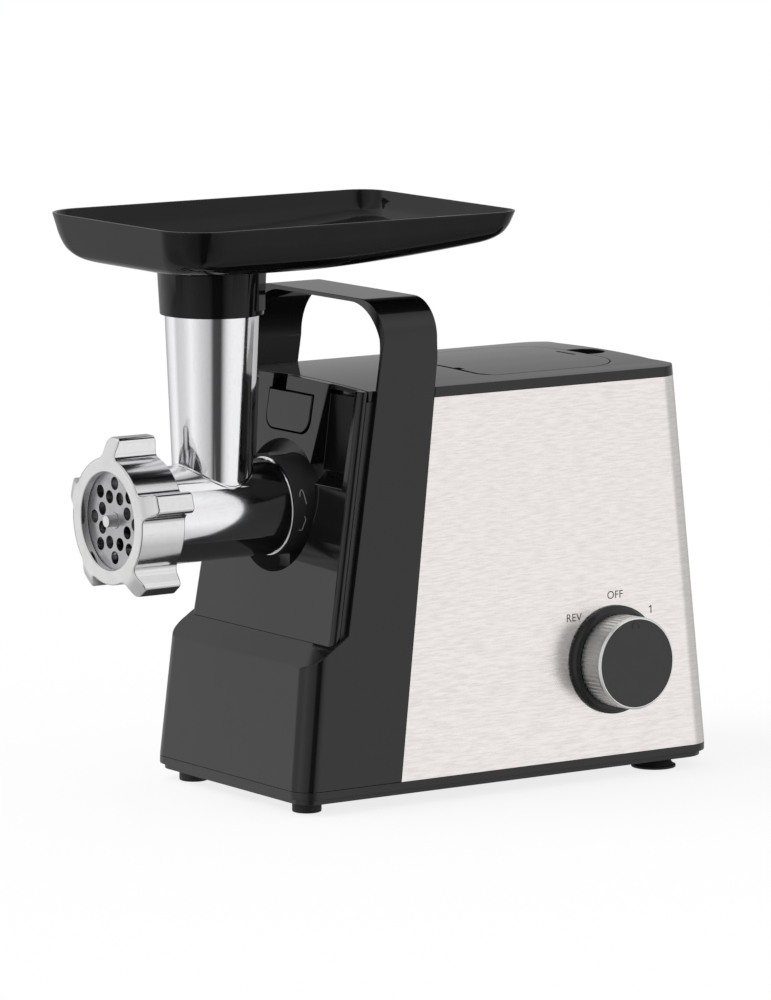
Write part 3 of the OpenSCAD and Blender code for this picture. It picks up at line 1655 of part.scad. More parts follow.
base_plate();
front_feet();
rear_feet();
base_screws();
front_housing();
front_fascia();
inner_housing();
steel_wrap();
top_cover();
storage_lid();
lid_hinge_pin();
storage_tub();
release_button();
button_spring();
head_socket();
socket_screws();
grinder_head();
auger();
auger_bush();
drive_coupling();
cross_knife();
grinding_plate();
locking_ring();
hopper_tray();
knob_skirt();
knob_face();
knob_flange();
rotary_switch();
switch_shaft();
motor_stator();
field_coils();
rotor_core();
rotor_windings();
rotor_shaft();
commutator();
motor_fan();
motor_pinion();
motor_bearings();
front_bracket();
rear_bracket();
brush_holders();
carbon_brushes();
gearbox_case();
gearbox_cover();
gearbox_screws();
output_gear();
output_spindle();
output_bush();
first_gear();
first_pinion();
first_shaft();
second_gear();
second_pinion();
second_shaft();
gear_bushes();
cord_gland();
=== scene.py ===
# %% [markdown]
# # An electric meat grinder
# The solid model of this machine is already made and packed. It holds every piece at its
# real size and place, and it also says which pieces move together. Here the machine gets
# its looks: soft edges where the solids are plain, smooth castings where they have facets,
# the printed dial, and a finish for every surface.
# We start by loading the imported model. Every length below is in metres.

# %% Load the solid model
import json
import math

import bmesh
import bpy
from mathutils import Matrix, Vector


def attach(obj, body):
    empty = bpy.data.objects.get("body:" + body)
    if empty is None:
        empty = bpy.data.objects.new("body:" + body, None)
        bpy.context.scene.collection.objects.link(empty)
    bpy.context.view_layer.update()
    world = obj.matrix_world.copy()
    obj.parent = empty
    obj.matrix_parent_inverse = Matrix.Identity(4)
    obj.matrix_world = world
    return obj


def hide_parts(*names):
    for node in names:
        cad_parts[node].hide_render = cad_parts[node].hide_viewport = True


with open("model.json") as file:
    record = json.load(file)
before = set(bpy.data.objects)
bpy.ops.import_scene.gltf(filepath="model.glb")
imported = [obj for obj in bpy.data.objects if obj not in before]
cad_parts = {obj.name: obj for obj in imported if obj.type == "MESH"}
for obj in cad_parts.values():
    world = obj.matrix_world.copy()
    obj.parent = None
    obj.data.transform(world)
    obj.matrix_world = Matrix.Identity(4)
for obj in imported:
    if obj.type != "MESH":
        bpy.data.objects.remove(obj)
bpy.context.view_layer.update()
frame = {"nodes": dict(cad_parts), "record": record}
nodes = frame["nodes"]

# %% [markdown]
# The model's origin is in the middle of its box, but a grinder is easier to think about
# from its own axes. The head axis runs along Y in the middle plane, and the lower front
# face is where depth starts. `at(x, y, z)` takes millimetres in those terms.

# %% The machine's own axes
MM = 0.001
MID_X = 11.054
MID_Y = 114.75
AXIS_Z = 176.8
FEED_Y = -9.3


def at(x, y, z):
    """A point given in millimetres from the middle plane, the lower front face and the table."""
    return Vector(((x - MID_X) * MM, (y - MID_Y) * MM, z * MM))


HEAD = at(0, 0, AXIS_Z)
print("head axis at", [round(c, 4) for c in HEAD])

# %% [markdown]
# ## The camera
# A long lens from over four metres away keeps the upright edges nearly parallel. We look
# from the front right corner and a little down.

# %% Camera
CAMERA_AZIMUTH = 55.21
CAMERA_ELEVATION = 8.33
CAMERA_ROLL = 0.06
CAMERA_DISTANCE = 4.144
CAMERA_TARGET = at(-3.53, 120, 172.35)
SENSOR_WIDTH = 36
FRAME_HEIGHT = 1000
FOCAL_PIXELS = 6758.13
VIEW_LIMIT = 50


def place_camera():
    a, e = math.radians(CAMERA_AZIMUTH), math.radians(CAMERA_ELEVATION)
    back = Vector((math.sin(a) * math.cos(e), -math.cos(a) * math.cos(e), math.sin(e)))
    level = Vector((math.cos(a), math.sin(a), 0))
    up = level.cross(-back)
    roll = math.radians(CAMERA_ROLL)
    right = level * math.cos(roll) + up * math.sin(roll)
    up = up * math.cos(roll) - level * math.sin(roll)
    data = bpy.data.cameras.new("camera")
    data.sensor_width = SENSOR_WIDTH
    data.lens = FOCAL_PIXELS * SENSOR_WIDTH / FRAME_HEIGHT
    data.clip_end = VIEW_LIMIT
    cam = bpy.data.objects.new("camera", data)
    bpy.context.scene.collection.objects.link(cam)
    spot = CAMERA_TARGET + back * CAMERA_DISTANCE
    turn = Matrix((right, up, back)).transposed().to_4x4()
    cam.matrix_world = Matrix.Translation(spot) @ turn
    bpy.context.scene.camera = cam
    return cam


camera = place_camera()
print("lens:", round(camera.data.lens, 1), "mm")

# %% [markdown]
# ## The studio
# A product like this is shot in a white room. Glossy black plastic shows nothing of its own
# colour: what we see on it is the room. So the room is the first material. It is a white
# surround whose brightness changes with the compass direction, with one dark flag to the
# right of the camera, which gives polished metal its dark upright bands.
# The camera itself sees plain white, and so do rays that pass through.

# %% The white surround
# Compass direction in degrees (0 looks out to the front, 90 to the right) and brightness
SURROUND = [
    (-180, 0.62), (-125, 0.42), (-100, 0.50), (-72, 0.92), (-55, 1.02), (-42, 0.66),
    (-18, 0.74), (3, 1.00), (25, 0.74), (52, 0.50), (60, 0.07), (79, 0.05),
    (86, 0.45), (95, 0.82), (108, 0.97), (136, 0.97), (158, 0.58), (180, 0.62),
]
# Height of the direction (-1 is down, 1 is up) and share of that brightness
HEIGHTS = [
    (-1.0, 0.60), (-0.6, 0.62), (-0.36, 0.9), (-0.24, 1.0), (0.3, 0.9), (0.5, 1.0),
    (1.0, 0.9),
]
ROOM_LIGHT = 0.62
WHITE = (1, 1, 1, 1)


def link(tree, source, target):
    tree.links.new(source, target)


def calc(tree, operation, a, b=0.0):
    """One Math node; a and b are numbers or sockets."""
    n = tree.nodes.new("ShaderNodeMath")
    n.operation = operation
    for socket, value in zip(n.inputs, (a, b)):
        if isinstance(value, (int, float)):
            socket.default_value = value
        else:
            link(tree, value, socket)
    return n.outputs[0]


def ramp(tree, source, stops):
    """A colour ramp from (place, brightness) pairs."""
    n = tree.nodes.new("ShaderNodeValToRGB")
    link(tree, source, n.inputs["Fac"])
    band = n.color_ramp
    band.elements[0].position = stops[0][0]
    band.elements[1].position = stops[-1][0]
    for place, _ in stops[1:-1]:
        band.elements.new(place)
    for element, (_, value) in zip(band.elements, stops):
        element.color = value if isinstance(value, tuple) else (value, value, value, 1)
    return n.outputs["Color"]


def white_background(tree, strength):
    n = tree.nodes.new("ShaderNodeBackground")
    n.inputs["Color"].default_value = WHITE
    n.inputs["Strength"].default_value = strength
    return n


def make_surround():
    world = bpy.data.worlds.new("white room")
    bpy.context.scene.world = world
    world.use_nodes = True
    tree = world.node_tree
    tree.nodes.clear()
    place = tree.nodes.new("ShaderNodeTexCoord")
    parts = tree.nodes.new("ShaderNodeSeparateXYZ")
    link(tree, place.outputs["Generated"], parts.inputs[0])
    x, y, z = parts.outputs
    compass = calc(tree, "ARCTAN2", x, calc(tree, "MULTIPLY", y, -1.0))
    share = calc(tree, "ADD", calc(tree, "DIVIDE", compass, 2 * math.pi), 0.5)
    walls = ramp(tree, share, [((a + 180) / 360, b) for a, b in SURROUND])
    height = calc(tree, "ADD", calc(tree, "MULTIPLY", z, 0.5), 0.5)
    seen = tree.nodes.new("ShaderNodeBackground")
    link(tree, walls, seen.inputs["Color"])
    link(tree, ramp(tree, height, [((h + 1) / 2, b) for h, b in HEIGHTS]), seen.inputs["Strength"])
    plain = white_background(tree, ROOM_LIGHT)
    white = white_background(tree, 1.0)
    ray = tree.nodes.new("ShaderNodeLightPath")
    lit = tree.nodes.new("ShaderNodeMixShader")
    link(tree, ray.outputs["Is Glossy Ray"], lit.inputs[0])
    link(tree, plain.outputs[0], lit.inputs[1])
    link(tree, seen.outputs[0], lit.inputs[2])
    direct = calc(tree, "MAXIMUM", ray.outputs["Is Camera Ray"], ray.outputs["Is Transmission Ray"])
    final = tree.nodes.new("ShaderNodeMixShader")
    link(tree, direct, final.inputs[0])
    link(tree, lit.outputs[0], final.inputs[1])
    link(tree, white.outputs[0], final.inputs[2])
    out = tree.nodes.new("ShaderNodeOutputWorld")
    link(tree, final.outputs[0], out.inputs["Surface"])


make_surround()
bpy.context.scene.view_settings.view_transform = "Standard"
print("surround stops:", len(SURROUND))

# %% [markdown]
# One very soft lamp from the upper left gives the shadow under the feet. The floor is white
# to the camera, and it still darkens where the machine keeps the light off it.

# %% Lamp and floor
KEY_STRENGTH = 1.2
KEY_SOFTNESS = 40
KEY_TILT = (38, -14)
FLOOR_SIZE = 24
FLOOR_WHITE = 0.81
FLOOR_PAINT = 0.21


def deselect():
    if bpy.context.object and bpy.context.object.mode != "OBJECT":
        bpy.ops.object.mode_set(mode="OBJECT")
    bpy.ops.object.select_all(action="DESELECT")


def make_lamp():
    data = bpy.data.lights.new("key", "SUN")
    data.energy = KEY_STRENGTH
    data.angle = math.radians(KEY_SOFTNESS)
    lamp = bpy.data.objects.new("key", data)
    lamp.rotation_euler = (math.radians(KEY_TILT[0]), math.radians(KEY_TILT[1]), 0)
    lamp.visible_glossy = False
    bpy.context.scene.collection.objects.link(lamp)


def make_floor():
    deselect()
    bpy.ops.mesh.primitive_plane_add(size=FLOOR_SIZE, location=(0, 0, 0))
    floor = bpy.context.object
    floor.name = "floor"
    material = bpy.data.materials.new("pale floor")
    material.use_nodes = True
    tree = material.node_tree
    tree.nodes.clear()
    paint = tree.nodes.new("ShaderNodeBsdfDiffuse")
    paint.inputs["Color"].default_value = (FLOOR_PAINT, FLOOR_PAINT, FLOOR_PAINT, 1)
    glow = tree.nodes.new("ShaderNodeEmission")
    ray = tree.nodes.new("ShaderNodeLightPath")
    seen = calc(tree, "MAXIMUM", ray.outputs["Is Camera Ray"], ray.outputs["Is Glossy Ray"])
    seen = calc(tree, "MAXIMUM", seen, ray.outputs["Is Transmission Ray"])
    link(tree, calc(tree, "MULTIPLY", seen, FLOOR_WHITE), glow.inputs["Strength"])
    both = tree.nodes.new("ShaderNodeAddShader")
    link(tree, paint.outputs[0], both.inputs[0])
    link(tree, glow.outputs[0], both.inputs[1])
    out = tree.nodes.new("ShaderNodeOutputMaterial")
    link(tree, both.outputs[0], out.inputs["Surface"])
    floor.data.materials.append(material)
    floor.visible_glossy = False


make_lamp()
make_floor()
print("floor laid")

# %% [markdown]
# ## Finishes
# Every finish starts from the same few effects, so each effect is a node group that is built
# once. All of them read Object coordinates in metres: the pieces keep their real place in
# their mesh, so a grain stays the same size on every piece.
# The first group is what a mould leaves on plastic: a very slow ripple, and the faint
# smudges that hands leave on a shiny face.

# %% Group: moulded skin
def new_group(name, ins, outs):
    group = bpy.data.node_groups.new(name, "ShaderNodeTree")
    for label, kind, value in ins:
        socket = group.interface.new_socket(label, in_out="INPUT", socket_type=kind)
        if value is not None:
            socket.default_value = value
    for label in outs:
        group.interface.new_socket(label, in_out="OUTPUT", socket_type="NodeSocketFloat")
    return group, group.nodes.new("NodeGroupInput"), group.nodes.new("NodeGroupOutput")


def noise(tree, vector, scale, detail=2.0, rough=0.5):
    n = tree.nodes.new("ShaderNodeTexNoise")
    link(tree, vector, n.inputs["Vector"])
    for label, value in (("Scale", scale), ("Detail", detail), ("Roughness", rough)):
        if isinstance(value, (int, float)):
            n.inputs[label].default_value = value
        else:
            link(tree, value, n.inputs[label])
    return n.outputs["Fac"]


def spread(tree, source, low, high, to_low=0.0, to_high=1.0):
    """Map Range with clamped ends."""
    n = tree.nodes.new("ShaderNodeMapRange")
    for socket, value in zip(n.inputs, (source, low, high, to_low, to_high)):
        if isinstance(value, (int, float)):
            socket.default_value = value
        else:
            link(tree, value, socket)
    return n.outputs[0]


def make_moulded_skin():
    group, ins, outs = new_group(
        "moulded skin",
        [("Vector", "NodeSocketVector", None), ("Grain", "NodeSocketFloat", 2500.0),
         ("Ripple", "NodeSocketFloat", 35.0)],
        ["Height", "Smudge"],
    )
    vector = ins.outputs["Vector"]
    grain = noise(group, vector, ins.outputs["Grain"], 1.0)
    ripple = noise(group, vector, ins.outputs["Ripple"], 0.0)
    height = calc(group, "ADD", calc(group, "MULTIPLY", grain, 0.12), ripple)
    link(group, height, outs.inputs["Height"])
    smudge = noise(group, vector, 22.0, 3.0, 0.6)
    link(group, spread(group, smudge, 0.42, 0.68), outs.inputs["Smudge"])
    return group


MOULDED_SKIN = make_moulded_skin()
print("group:", MOULDED_SKIN.name)

# %% [markdown]
# Brushed and ground metal is made of lines. A noise that is squeezed across the lines and
# stretched along them gives fibres of uneven length, and a second slower one gives the
# broad streaks that make the sheet look lively.

# %% Group: brushed lines
def scaled(tree, vector, scale):
    n = tree.nodes.new("ShaderNodeVectorMath")
    n.operation = "MULTIPLY"
    link(tree, vector, n.inputs[0])
    if isinstance(scale, tuple):
        n.inputs[1].default_value = scale
    else:
        link(tree, scale, n.inputs[1])
    return n.outputs[0]


def make_brushed_lines():
    group, ins, outs = new_group(
        "brushed lines",
        [("Vector", "NodeSocketVector", None), ("Fibres", "NodeSocketVector", (30, 30, 2200)),
         ("Streaks", "NodeSocketVector", (9, 9, 260))],
        ["Lines", "Streaks"],
    )
    fibres = scaled(group, ins.outputs["Vector"], ins.outputs["Fibres"])
    streaks = scaled(group, ins.outputs["Vector"], ins.outputs["Streaks"])
    link(group, noise(group, fibres, 1.0, 3.0, 0.65), outs.inputs["Lines"])
    wide = noise(group, streaks, 1.0, 2.0, 0.5)
    link(group, spread(group, wide, 0.3, 0.7), outs.inputs["Streaks"])
    return group


BRUSHED_LINES = make_brushed_lines()
print("group:", BRUSHED_LINES.name)

# %% [markdown]
# Turned faces, such as the plate and the knob's cap, carry fine rings about their axis. The
# group takes a point measured from that axis and returns rings and a cloudy wear mask.

# %% Group: turned rings
def make_turned_rings():
    group, ins, outs = new_group(
        "turned rings",
        [("Vector", "NodeSocketVector", None), ("Across", "NodeSocketVector", (1, 0, 1)),
         ("Pitch", "NodeSocketFloat", 2600.0)],
        ["Rings", "Wear"],
    )
    flat = scaled(group, ins.outputs["Vector"], ins.outputs["Across"])
    length = group.nodes.new("ShaderNodeVectorMath")
    length.operation = "LENGTH"
    link(group, flat, length.inputs[0])
    line = group.nodes.new("ShaderNodeTexNoise")
    line.noise_dimensions = "1D"
    link(group, calc(group, "MULTIPLY", length.outputs["Value"], ins.outputs["Pitch"]),
         line.inputs["W"])
    line.inputs["Scale"].default_value = 1.0
    line.inputs["Detail"].default_value = 2.0
    link(group, line.outputs["Fac"], outs.inputs["Rings"])
    wear = noise(group, ins.outputs["Vector"], 90.0, 4.0, 0.6)
    link(group, spread(group, wear, 0.4, 0.7), outs.inputs["Wear"])
    return group


TURNED_RINGS = make_turned_rings()
print("group:", TURNED_RINGS.name)

# %% [markdown]
# Cast and polished metal: fine random scratches over a slow waviness that the polishing
# wheel leaves. The scratches run in three directions so that they don't look combed.

# %% Group: polished skin
def make_polished_skin():
    group, ins, outs = new_group(
        "polished skin",
        [("Vector", "NodeSocketVector", None), ("Wave", "NodeSocketFloat", 60.0)],
        ["Scratches", "Wave"],
    )
    vector = ins.outputs["Vector"]
    total = None
    for stretch in ((160, 2600, 2600), (2600, 160, 2600), (2600, 2600, 160)):
        line = spread(group, noise(group, scaled(group, vector, stretch), 1.0, 1.0), 0.56, 0.8)
        total = line if total is None else calc(group, "MAXIMUM", total, line)
    link(group, total, outs.inputs["Scratches"])
    link(group, noise(group, vector, ins.outputs["Wave"], 1.0), outs.inputs["Wave"])
    return group


POLISHED_SKIN = make_polished_skin()
print("group:", POLISHED_SKIN.name)

# %% [markdown]
# A finish is a Principled shader with numbers set straight on its sockets, plus one group
# that changes its roughness, its colour and the height of a small bump. `Finish` holds the
# pieces of one material while it is wired.

# %% One material at a time
class Finish:
    def __init__(self, name, colour, metallic=0.0, roughness=0.4):
        self.material = bpy.data.materials.new(name)
        self.material.use_nodes = True
        self.tree = self.material.node_tree
        self.shader = self.tree.nodes["Principled BSDF"]
        self.place = self.tree.nodes.new("ShaderNodeTexCoord").outputs["Object"]
        self.put("Base Color", (*colour, 1))
        self.put("Metallic", metallic)
        self.put("Roughness", roughness)
        self.colour = colour

    def put(self, label, value):
        self.shader.inputs[label].default_value = value

    def group(self, group, **values):
        n = self.tree.nodes.new("ShaderNodeGroup")
        n.node_tree = group
        link(self.tree, values.pop("Vector", self.place), n.inputs["Vector"])
        for label, value in values.items():
            n.inputs[label].default_value = value
        return n.outputs

    def centred(self, point, turn=(0, 0, 0)):
        """Object coordinates measured from a point of the machine."""
        n = self.tree.nodes.new("ShaderNodeMapping")
        n.vector_type = "TEXTURE"
        n.inputs["Location"].default_value = point
        n.inputs["Rotation"].default_value = turn
        link(self.tree, self.place, n.inputs["Vector"])
        return n.outputs[0]

    def rough(self, mask, low, high, from_low=0.0, from_high=1.0):
        link(self.tree, spread(self.tree, mask, from_low, from_high, low, high),
             self.shader.inputs["Roughness"])

    def tint(self, mask, other):
        n = self.tree.nodes.new("ShaderNodeMix")
        n.data_type = "RGBA"
        link(self.tree, mask, n.inputs["Factor"])
        n.inputs["A"].default_value = (*self.colour, 1)
        n.inputs["B"].default_value = (*other, 1)
        link(self.tree, n.outputs["Result"], self.shader.inputs["Base Color"])

    def bump(self, height, strength, distance):
        n = self.tree.nodes.new("ShaderNodeBump")
        n.inputs["Strength"].default_value = strength
        n.inputs["Distance"].default_value = distance
        link(self.tree, height, n.inputs["Height"])
        link(self.tree, n.outputs[0], self.shader.inputs["Normal"])


FINISHES = {}

# %% [markdown]
# ### The black mouldings
# The housing, the fascia and the covers are piano-black: almost no colour of their own, a
# sharp reflection, and a ripple so slow that it only bends the edges of that reflection.
# The base and the tub are a little duller, with a fine grain.

# %% Black plastics
def moulding(name, colour, rough, worn, grain=2500.0, ripple=30.0, height=0.00002, ior=1.5):
    f = Finish(name, colour)
    f.put("IOR", ior)
    skin = f.group(MOULDED_SKIN, Grain=grain, Ripple=ripple)
    f.rough(skin["Smudge"], rough, worn)
    f.tint(skin["Smudge"], tuple(c * 1.35 + 0.0008 for c in colour))
    f.bump(skin["Height"], 0.6, height)
    FINISHES[name] = f.material


moulding("black_gloss", (0.0065, 0.0065, 0.0068), 0.055, 0.10)
moulding("tray_gloss", (0.0085, 0.0085, 0.0088), 0.045, 0.085, ripple=24.0, ior=1.32)
# Painted shade: the pocket floors get a darker colour and a lower IOR than the gloss black; their
# roughness is the dull finish.
moulding("pocket_painted_shade", (0.004, 0.004, 0.0042), 0.34, 0.44, ior=1.3)
# Painted light: the recess and the collar get a grey far lighter than the black plastic, since
# little light falls into the recess; the satin roughness is the finish.
moulding("satin_painted_light", (0.046, 0.046, 0.047), 0.34, 0.44, grain=4200.0, height=0.00003)
moulding("black_moulding", (0.0105, 0.0105, 0.011), 0.26, 0.36, grain=5200.0, height=0.00005)
moulding("foot_rubber", (0.010, 0.010, 0.010), 0.55, 0.72, grain=3600.0, height=0.0001)
moulding("switch_body", (0.03, 0.03, 0.034), 0.4, 0.5, grain=3000.0)
moulding("fan_plastic", (0.035, 0.05, 0.09), 0.35, 0.5)
moulding("holder_phenolic", (0.09, 0.045, 0.02), 0.35, 0.5)
moulding("carbon", (0.016, 0.016, 0.017), 0.5, 0.65, grain=4200.0, height=0.0001)
moulding("natural_nylon", (0.62, 0.58, 0.48), 0.32, 0.45)
print("plastics:", len(FINISHES))

# %% [markdown]
# ### The steel panel
# The sheet is brushed level, all the way round. Fibres are short and fine along the sheet,
# so the noise is squeezed in height only, and the light runs in soft warm streaks.

# %% Brushed steel
def brushed(name, colour, dark, rough_low, rough_high, fibres, streaks, depth):
    f = Finish(name, colour, metallic=1.0)
    lines = f.group(BRUSHED_LINES, Fibres=fibres, Streaks=streaks)
    mixed = calc(f.tree, "MULTIPLY", lines["Lines"], lines["Streaks"])
    f.tint(spread(f.tree, mixed, 0.08, 0.5), dark)
    f.rough(lines["Lines"], rough_low, rough_high, 0.3, 0.7)
    f.bump(lines["Lines"], 0.35, depth)
    FINISHES[name] = f.material


brushed("brushed_panel", (0.935, 0.891, 0.867), (0.82, 0.776, 0.752), 0.22, 0.30,
        (165, 165, 2700), (90, 90, 880), 0.00002)
brushed("knife_steel", (0.72, 0.72, 0.74), (0.5, 0.5, 0.52), 0.22, 0.38,
        (2000, 200, 200), (200, 40, 40), 0.00003)
brushed("stator_steel", (0.42, 0.43, 0.45), (0.2, 0.2, 0.22), 0.35, 0.55,
        (30, 2400, 30), (20, 200, 20), 0.00008)
brushed("shaft_steel", (0.74, 0.74, 0.76), (0.6, 0.6, 0.62), 0.16, 0.30,
        (300, 2400, 300), (60, 200, 60), 0.00002)
brushed("screw_steel", (0.62, 0.62, 0.64), (0.4, 0.4, 0.42), 0.25, 0.45,
        (600, 600, 600), (100, 100, 100), 0.00003)
brushed("spring_steel", (0.66, 0.66, 0.68), (0.5, 0.5, 0.52), 0.22, 0.35,
        (600, 600, 600), (100, 100, 100), 0.00002)
brushed("copper_wire", (0.83, 0.38, 0.16), (0.45, 0.16, 0.06), 0.25, 0.45,
        (250, 60, 2600), (60, 20, 300), 0.0002)
brushed("commutator_copper", (0.85, 0.45, 0.24), (0.3, 0.14, 0.08), 0.22, 0.4,
        (1600, 30, 1600), (200, 20, 200), 0.00008)
print("brushed finishes:", len(FINISHES))

# %% [markdown]
# ### Polished and cast aluminium
# The head and the ring are die-cast and then polished bright. They reflect the room, and
# the slow wave from the polishing wheel keeps the bands from being ruler-straight.

# %% Polished metals
def polished(name, colour, rough_low, rough_high, wave=55.0, wave_depth=0.00006):
    f = Finish(name, colour, metallic=1.0)
    skin = f.group(POLISHED_SKIN, Wave=wave)
    f.rough(skin["Scratches"], rough_low, rough_high)
    f.tint(skin["Scratches"], tuple(c * 0.92 for c in colour))
    f.bump(skin["Wave"], 0.5, wave_depth)
    FINISHES[name] = f.material


polished("cast_aluminium", (0.905, 0.905, 0.925), 0.10, 0.16, wave_depth=0.00002)
polished("ring_aluminium", (0.800, 0.800, 0.806), 0.11, 0.21, wave_depth=0.00003)
polished("auger_aluminium", (0.78, 0.78, 0.79), 0.28, 0.45, wave=300.0)
polished("knob_metal", (0.97, 0.97, 0.98), 0.34, 0.46, wave=500.0)
polished("bush_bronze", (0.72, 0.50, 0.24), 0.2, 0.35)
polished("bracket_metal", (0.62, 0.63, 0.65), 0.3, 0.45, wave=200.0)
polished("gearbox_casting", (0.60, 0.61, 0.62), 0.42, 0.6, wave=900.0, wave_depth=0.0003)
print("polished finishes:", len(FINISHES))

# %% [markdown]
# ### Turned faces
# The perforated plate is ground on a turntable, the front of the ring is turned on a lathe,
# and the cap of the knob is spun. Each gets rings about its own axis.

# %% Turned metals
# The right side panel leans in by this share of its height, and the knob stands square on it
SIDE_LEAN = 0.034
KNOB_Y = 232.2
KNOB_Z = 74.4
KNOB_TILT = math.atan(SIDE_LEAN)
KNOB_FOOT = at(81.084, KNOB_Y, KNOB_Z)


def turned(name, colour, other, metallic, rough_low, rough_high, centre, across, pitch, depth,
           turn=(0, 0, 0)):
    f = Finish(name, colour, metallic=metallic)
    rings = f.group(TURNED_RINGS, Vector=f.centred(centre, turn), Across=across, Pitch=pitch)
    f.rough(rings["Wear"], rough_low, rough_high)
    f.tint(spread(f.tree, rings["Rings"], 0.35, 0.65), other)
    f.bump(rings["Rings"], 0.35, depth)
    FINISHES[name] = f.material


turned("plate_steel", (0.52, 0.52, 0.53), (0.44, 0.44, 0.45), 1.0, 0.24, 0.36,
       HEAD, (1, 0, 1), 3200.0, 0.00003)
turned("ring_face", (0.83, 0.83, 0.825), (0.77, 0.77, 0.765), 1.0, 0.30, 0.40,
       HEAD, (1, 0, 1), 2400.0, 0.00003)
turned("knob_cap", (0.042, 0.042, 0.044), (0.034, 0.034, 0.036), 0.0, 0.30, 0.38,
       KNOB_FOOT, (0, 1, 1), 4200.0, 0.00002)
print("finishes:", len(FINISHES))

# %% [markdown]
# Every solid now gets the finish of its slot. The solids that stay as they are, such as the
# motor and the gears inside, need nothing more.

# %% Paint the solids
SLOT_OF = {row["node"]: row["material_slot"] for row in frame["record"]["subparts"]}
BODY_OF = {
    node: body for body, members in frame["record"]["behaviour"]["bodies"].items()
    for node in members
}
for name, solid in nodes.items():
    finish = FINISHES[SLOT_OF[name]]
    if solid.material_slots:
        for index in range(len(solid.material_slots)):
            solid.material_slots[index].material = finish
    else:
        solid.data.materials.append(finish)
print("slots without a finish:", sorted(set(SLOT_OF.values()) - set(FINISHES)))

# %% [markdown]
# ## Soft edges
# No moulded or pressed edge is perfectly sharp: it has a small radius that catches a line of
# light. So each visible solid is copied, its loose triangles are merged, flat faces are
# joined again, and a narrow bevel goes along every real edge. The copy stands for the solid
# and moves with it.

# %% Copy a solid with soft edges
MERGE = 0.00002
FLAT = math.radians(0.4)


def only(piece):
    deselect()
    piece.select_set(True)
    bpy.context.view_layer.objects.active = piece


def edit(piece):
    only(piece)
    bpy.ops.object.mode_set(mode="EDIT")


def leave():
    bpy.ops.object.mode_set(mode="OBJECT")


def weld(distance):
    """Merges points of the piece in hand that lie on one another."""
    bpy.ops.mesh.select_all(action="SELECT")
    bpy.ops.mesh.remove_doubles(threshold=distance)


def settle(piece):
    """Puts the piece's place into its mesh and its object back at the origin."""
    only(piece)
    bpy.ops.object.transform_apply(location=True, rotation=True, scale=True)
    return piece


def apply_all(piece):
    only(piece)
    for modifier in list(piece.modifiers):
        bpy.ops.object.modifier_apply(modifier=modifier.name)


def even_shading(piece, shade):
    """Smooth curves and flat flats: normals lean towards the larger faces."""
    only(piece)
    bpy.ops.object.shade_smooth_by_angle(angle=math.radians(shade))
    weights = piece.modifiers.new("even shading", "WEIGHTED_NORMAL")
    weights.weight = 100
    weights.keep_sharp = True
    apply_all(piece)


def round_edges(piece, width, steps=2, crease=32, shade=32):
    bevel = piece.modifiers.new("soft edges", "BEVEL")
    bevel.width = width * MM
    bevel.segments = steps
    bevel.limit_method = "ANGLE"
    bevel.angle_limit = math.radians(crease)
    bevel.use_clamp_overlap = False
    bevel.miter_outer = "MITER_ARC"
    apply_all(piece)
    even_shading(piece, shade)


def stands_for(piece, node, finish=None):
    """The piece replaces a solid: same body, same slot, and a finish."""
    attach(piece, BODY_OF[node])
    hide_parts(node)
    if finish is not None:
        piece.data.materials.clear()
        piece.data.materials.append(FINISHES[finish])
    return piece


def merged_copy(node):
    piece = bpy.data.objects.new(node + "_finished", nodes[node].data.copy())
    bpy.context.scene.collection.objects.link(piece)
    edit(piece)
    weld(MERGE)
    bpy.ops.mesh.dissolve_limited(angle_limit=FLAT)
    leave()
    return piece


def softened(node, width, steps=2, crease=32, shade=32):
    piece = merged_copy(node)
    round_edges(piece, width, steps, crease, shade)
    return stands_for(piece, node, SLOT_OF[node])


SOFT_EDGES = {
    "front_housing": 0.5, "front_fascia": 0.45, "top_cover": 0.5, "storage_lid": 0.3,
    "release_button": 0.7, "base_plate": 0.5, "front_feet": 0.8, "rear_feet": 0.4,
    "steel_wrap": 0.12, "head_socket": 0.4, "knob_skirt": 0.12, "knob_face": 0.15,
    "knob_flange": 0.4, "grinding_plate": 0.25, "cross_knife": 0.3, "auger": 0.35,
    "cord_gland": 0.5, "storage_tub": 0.4,
}
for node, width in SOFT_EDGES.items():
    piece = softened(node, width)
    print(node, "faces:", len(piece.data.polygons))

# %% [markdown]
# Two more finishes are given face by face. The floors of the two tall pockets are dull, with
# a darker colour that is painted shade, which keeps them black. The round recess and the collar
# in it are satin in a lighter grey that is painted light, so that they show their form in grey,
# although little light falls into the recess.

# %% Pockets, recess and collar
RECESS_R = 40.4
FASCIA_FLOOR = 50.2
POCKET, RECESS = 1, 2


def from_axis(point):
    """Distance of a point from the head axis."""
    return (point.xz - HEAD.xz).length


fascia = bpy.data.objects["front_fascia_finished"]
fascia.data.materials.append(FINISHES["pocket_painted_shade"])
fascia.data.materials.append(FINISHES["satin_painted_light"])
points = fascia.data.vertices
for face in fascia.data.polygons:
    if all(from_axis(points[i].co) < RECESS_R * MM for i in face.vertices):
        face.material_index = RECESS
    elif face.normal.y < -0.9 and face.center.y > at(0, FASCIA_FLOOR, 0).y:
        face.material_index = POCKET
for index, label in ((POCKET, "pocket"), (RECESS, "recess")):
    print(label, "faces:", sum(f.material_index == index for f in fascia.data.polygons))
# The collar takes the same lighter grey, painted light.
bpy.data.objects["head_socket_finished"].data.materials[0] = FINISHES["satin_painted_light"]

# %% [markdown]
# ## Modelling by hand
# The tray, the head and the ring have curves that a faceted solid can't show, so they are
# modelled again at the same place. The helpers below pick faces, edges or points by where
# they are, add one shape to another, and cut one from another.

# %% Helpers for hand modelling
SELECT_MODES = {
    "VERT": (True, False, False), "EDGE": (False, True, False), "FACE": (False, False, True),
}


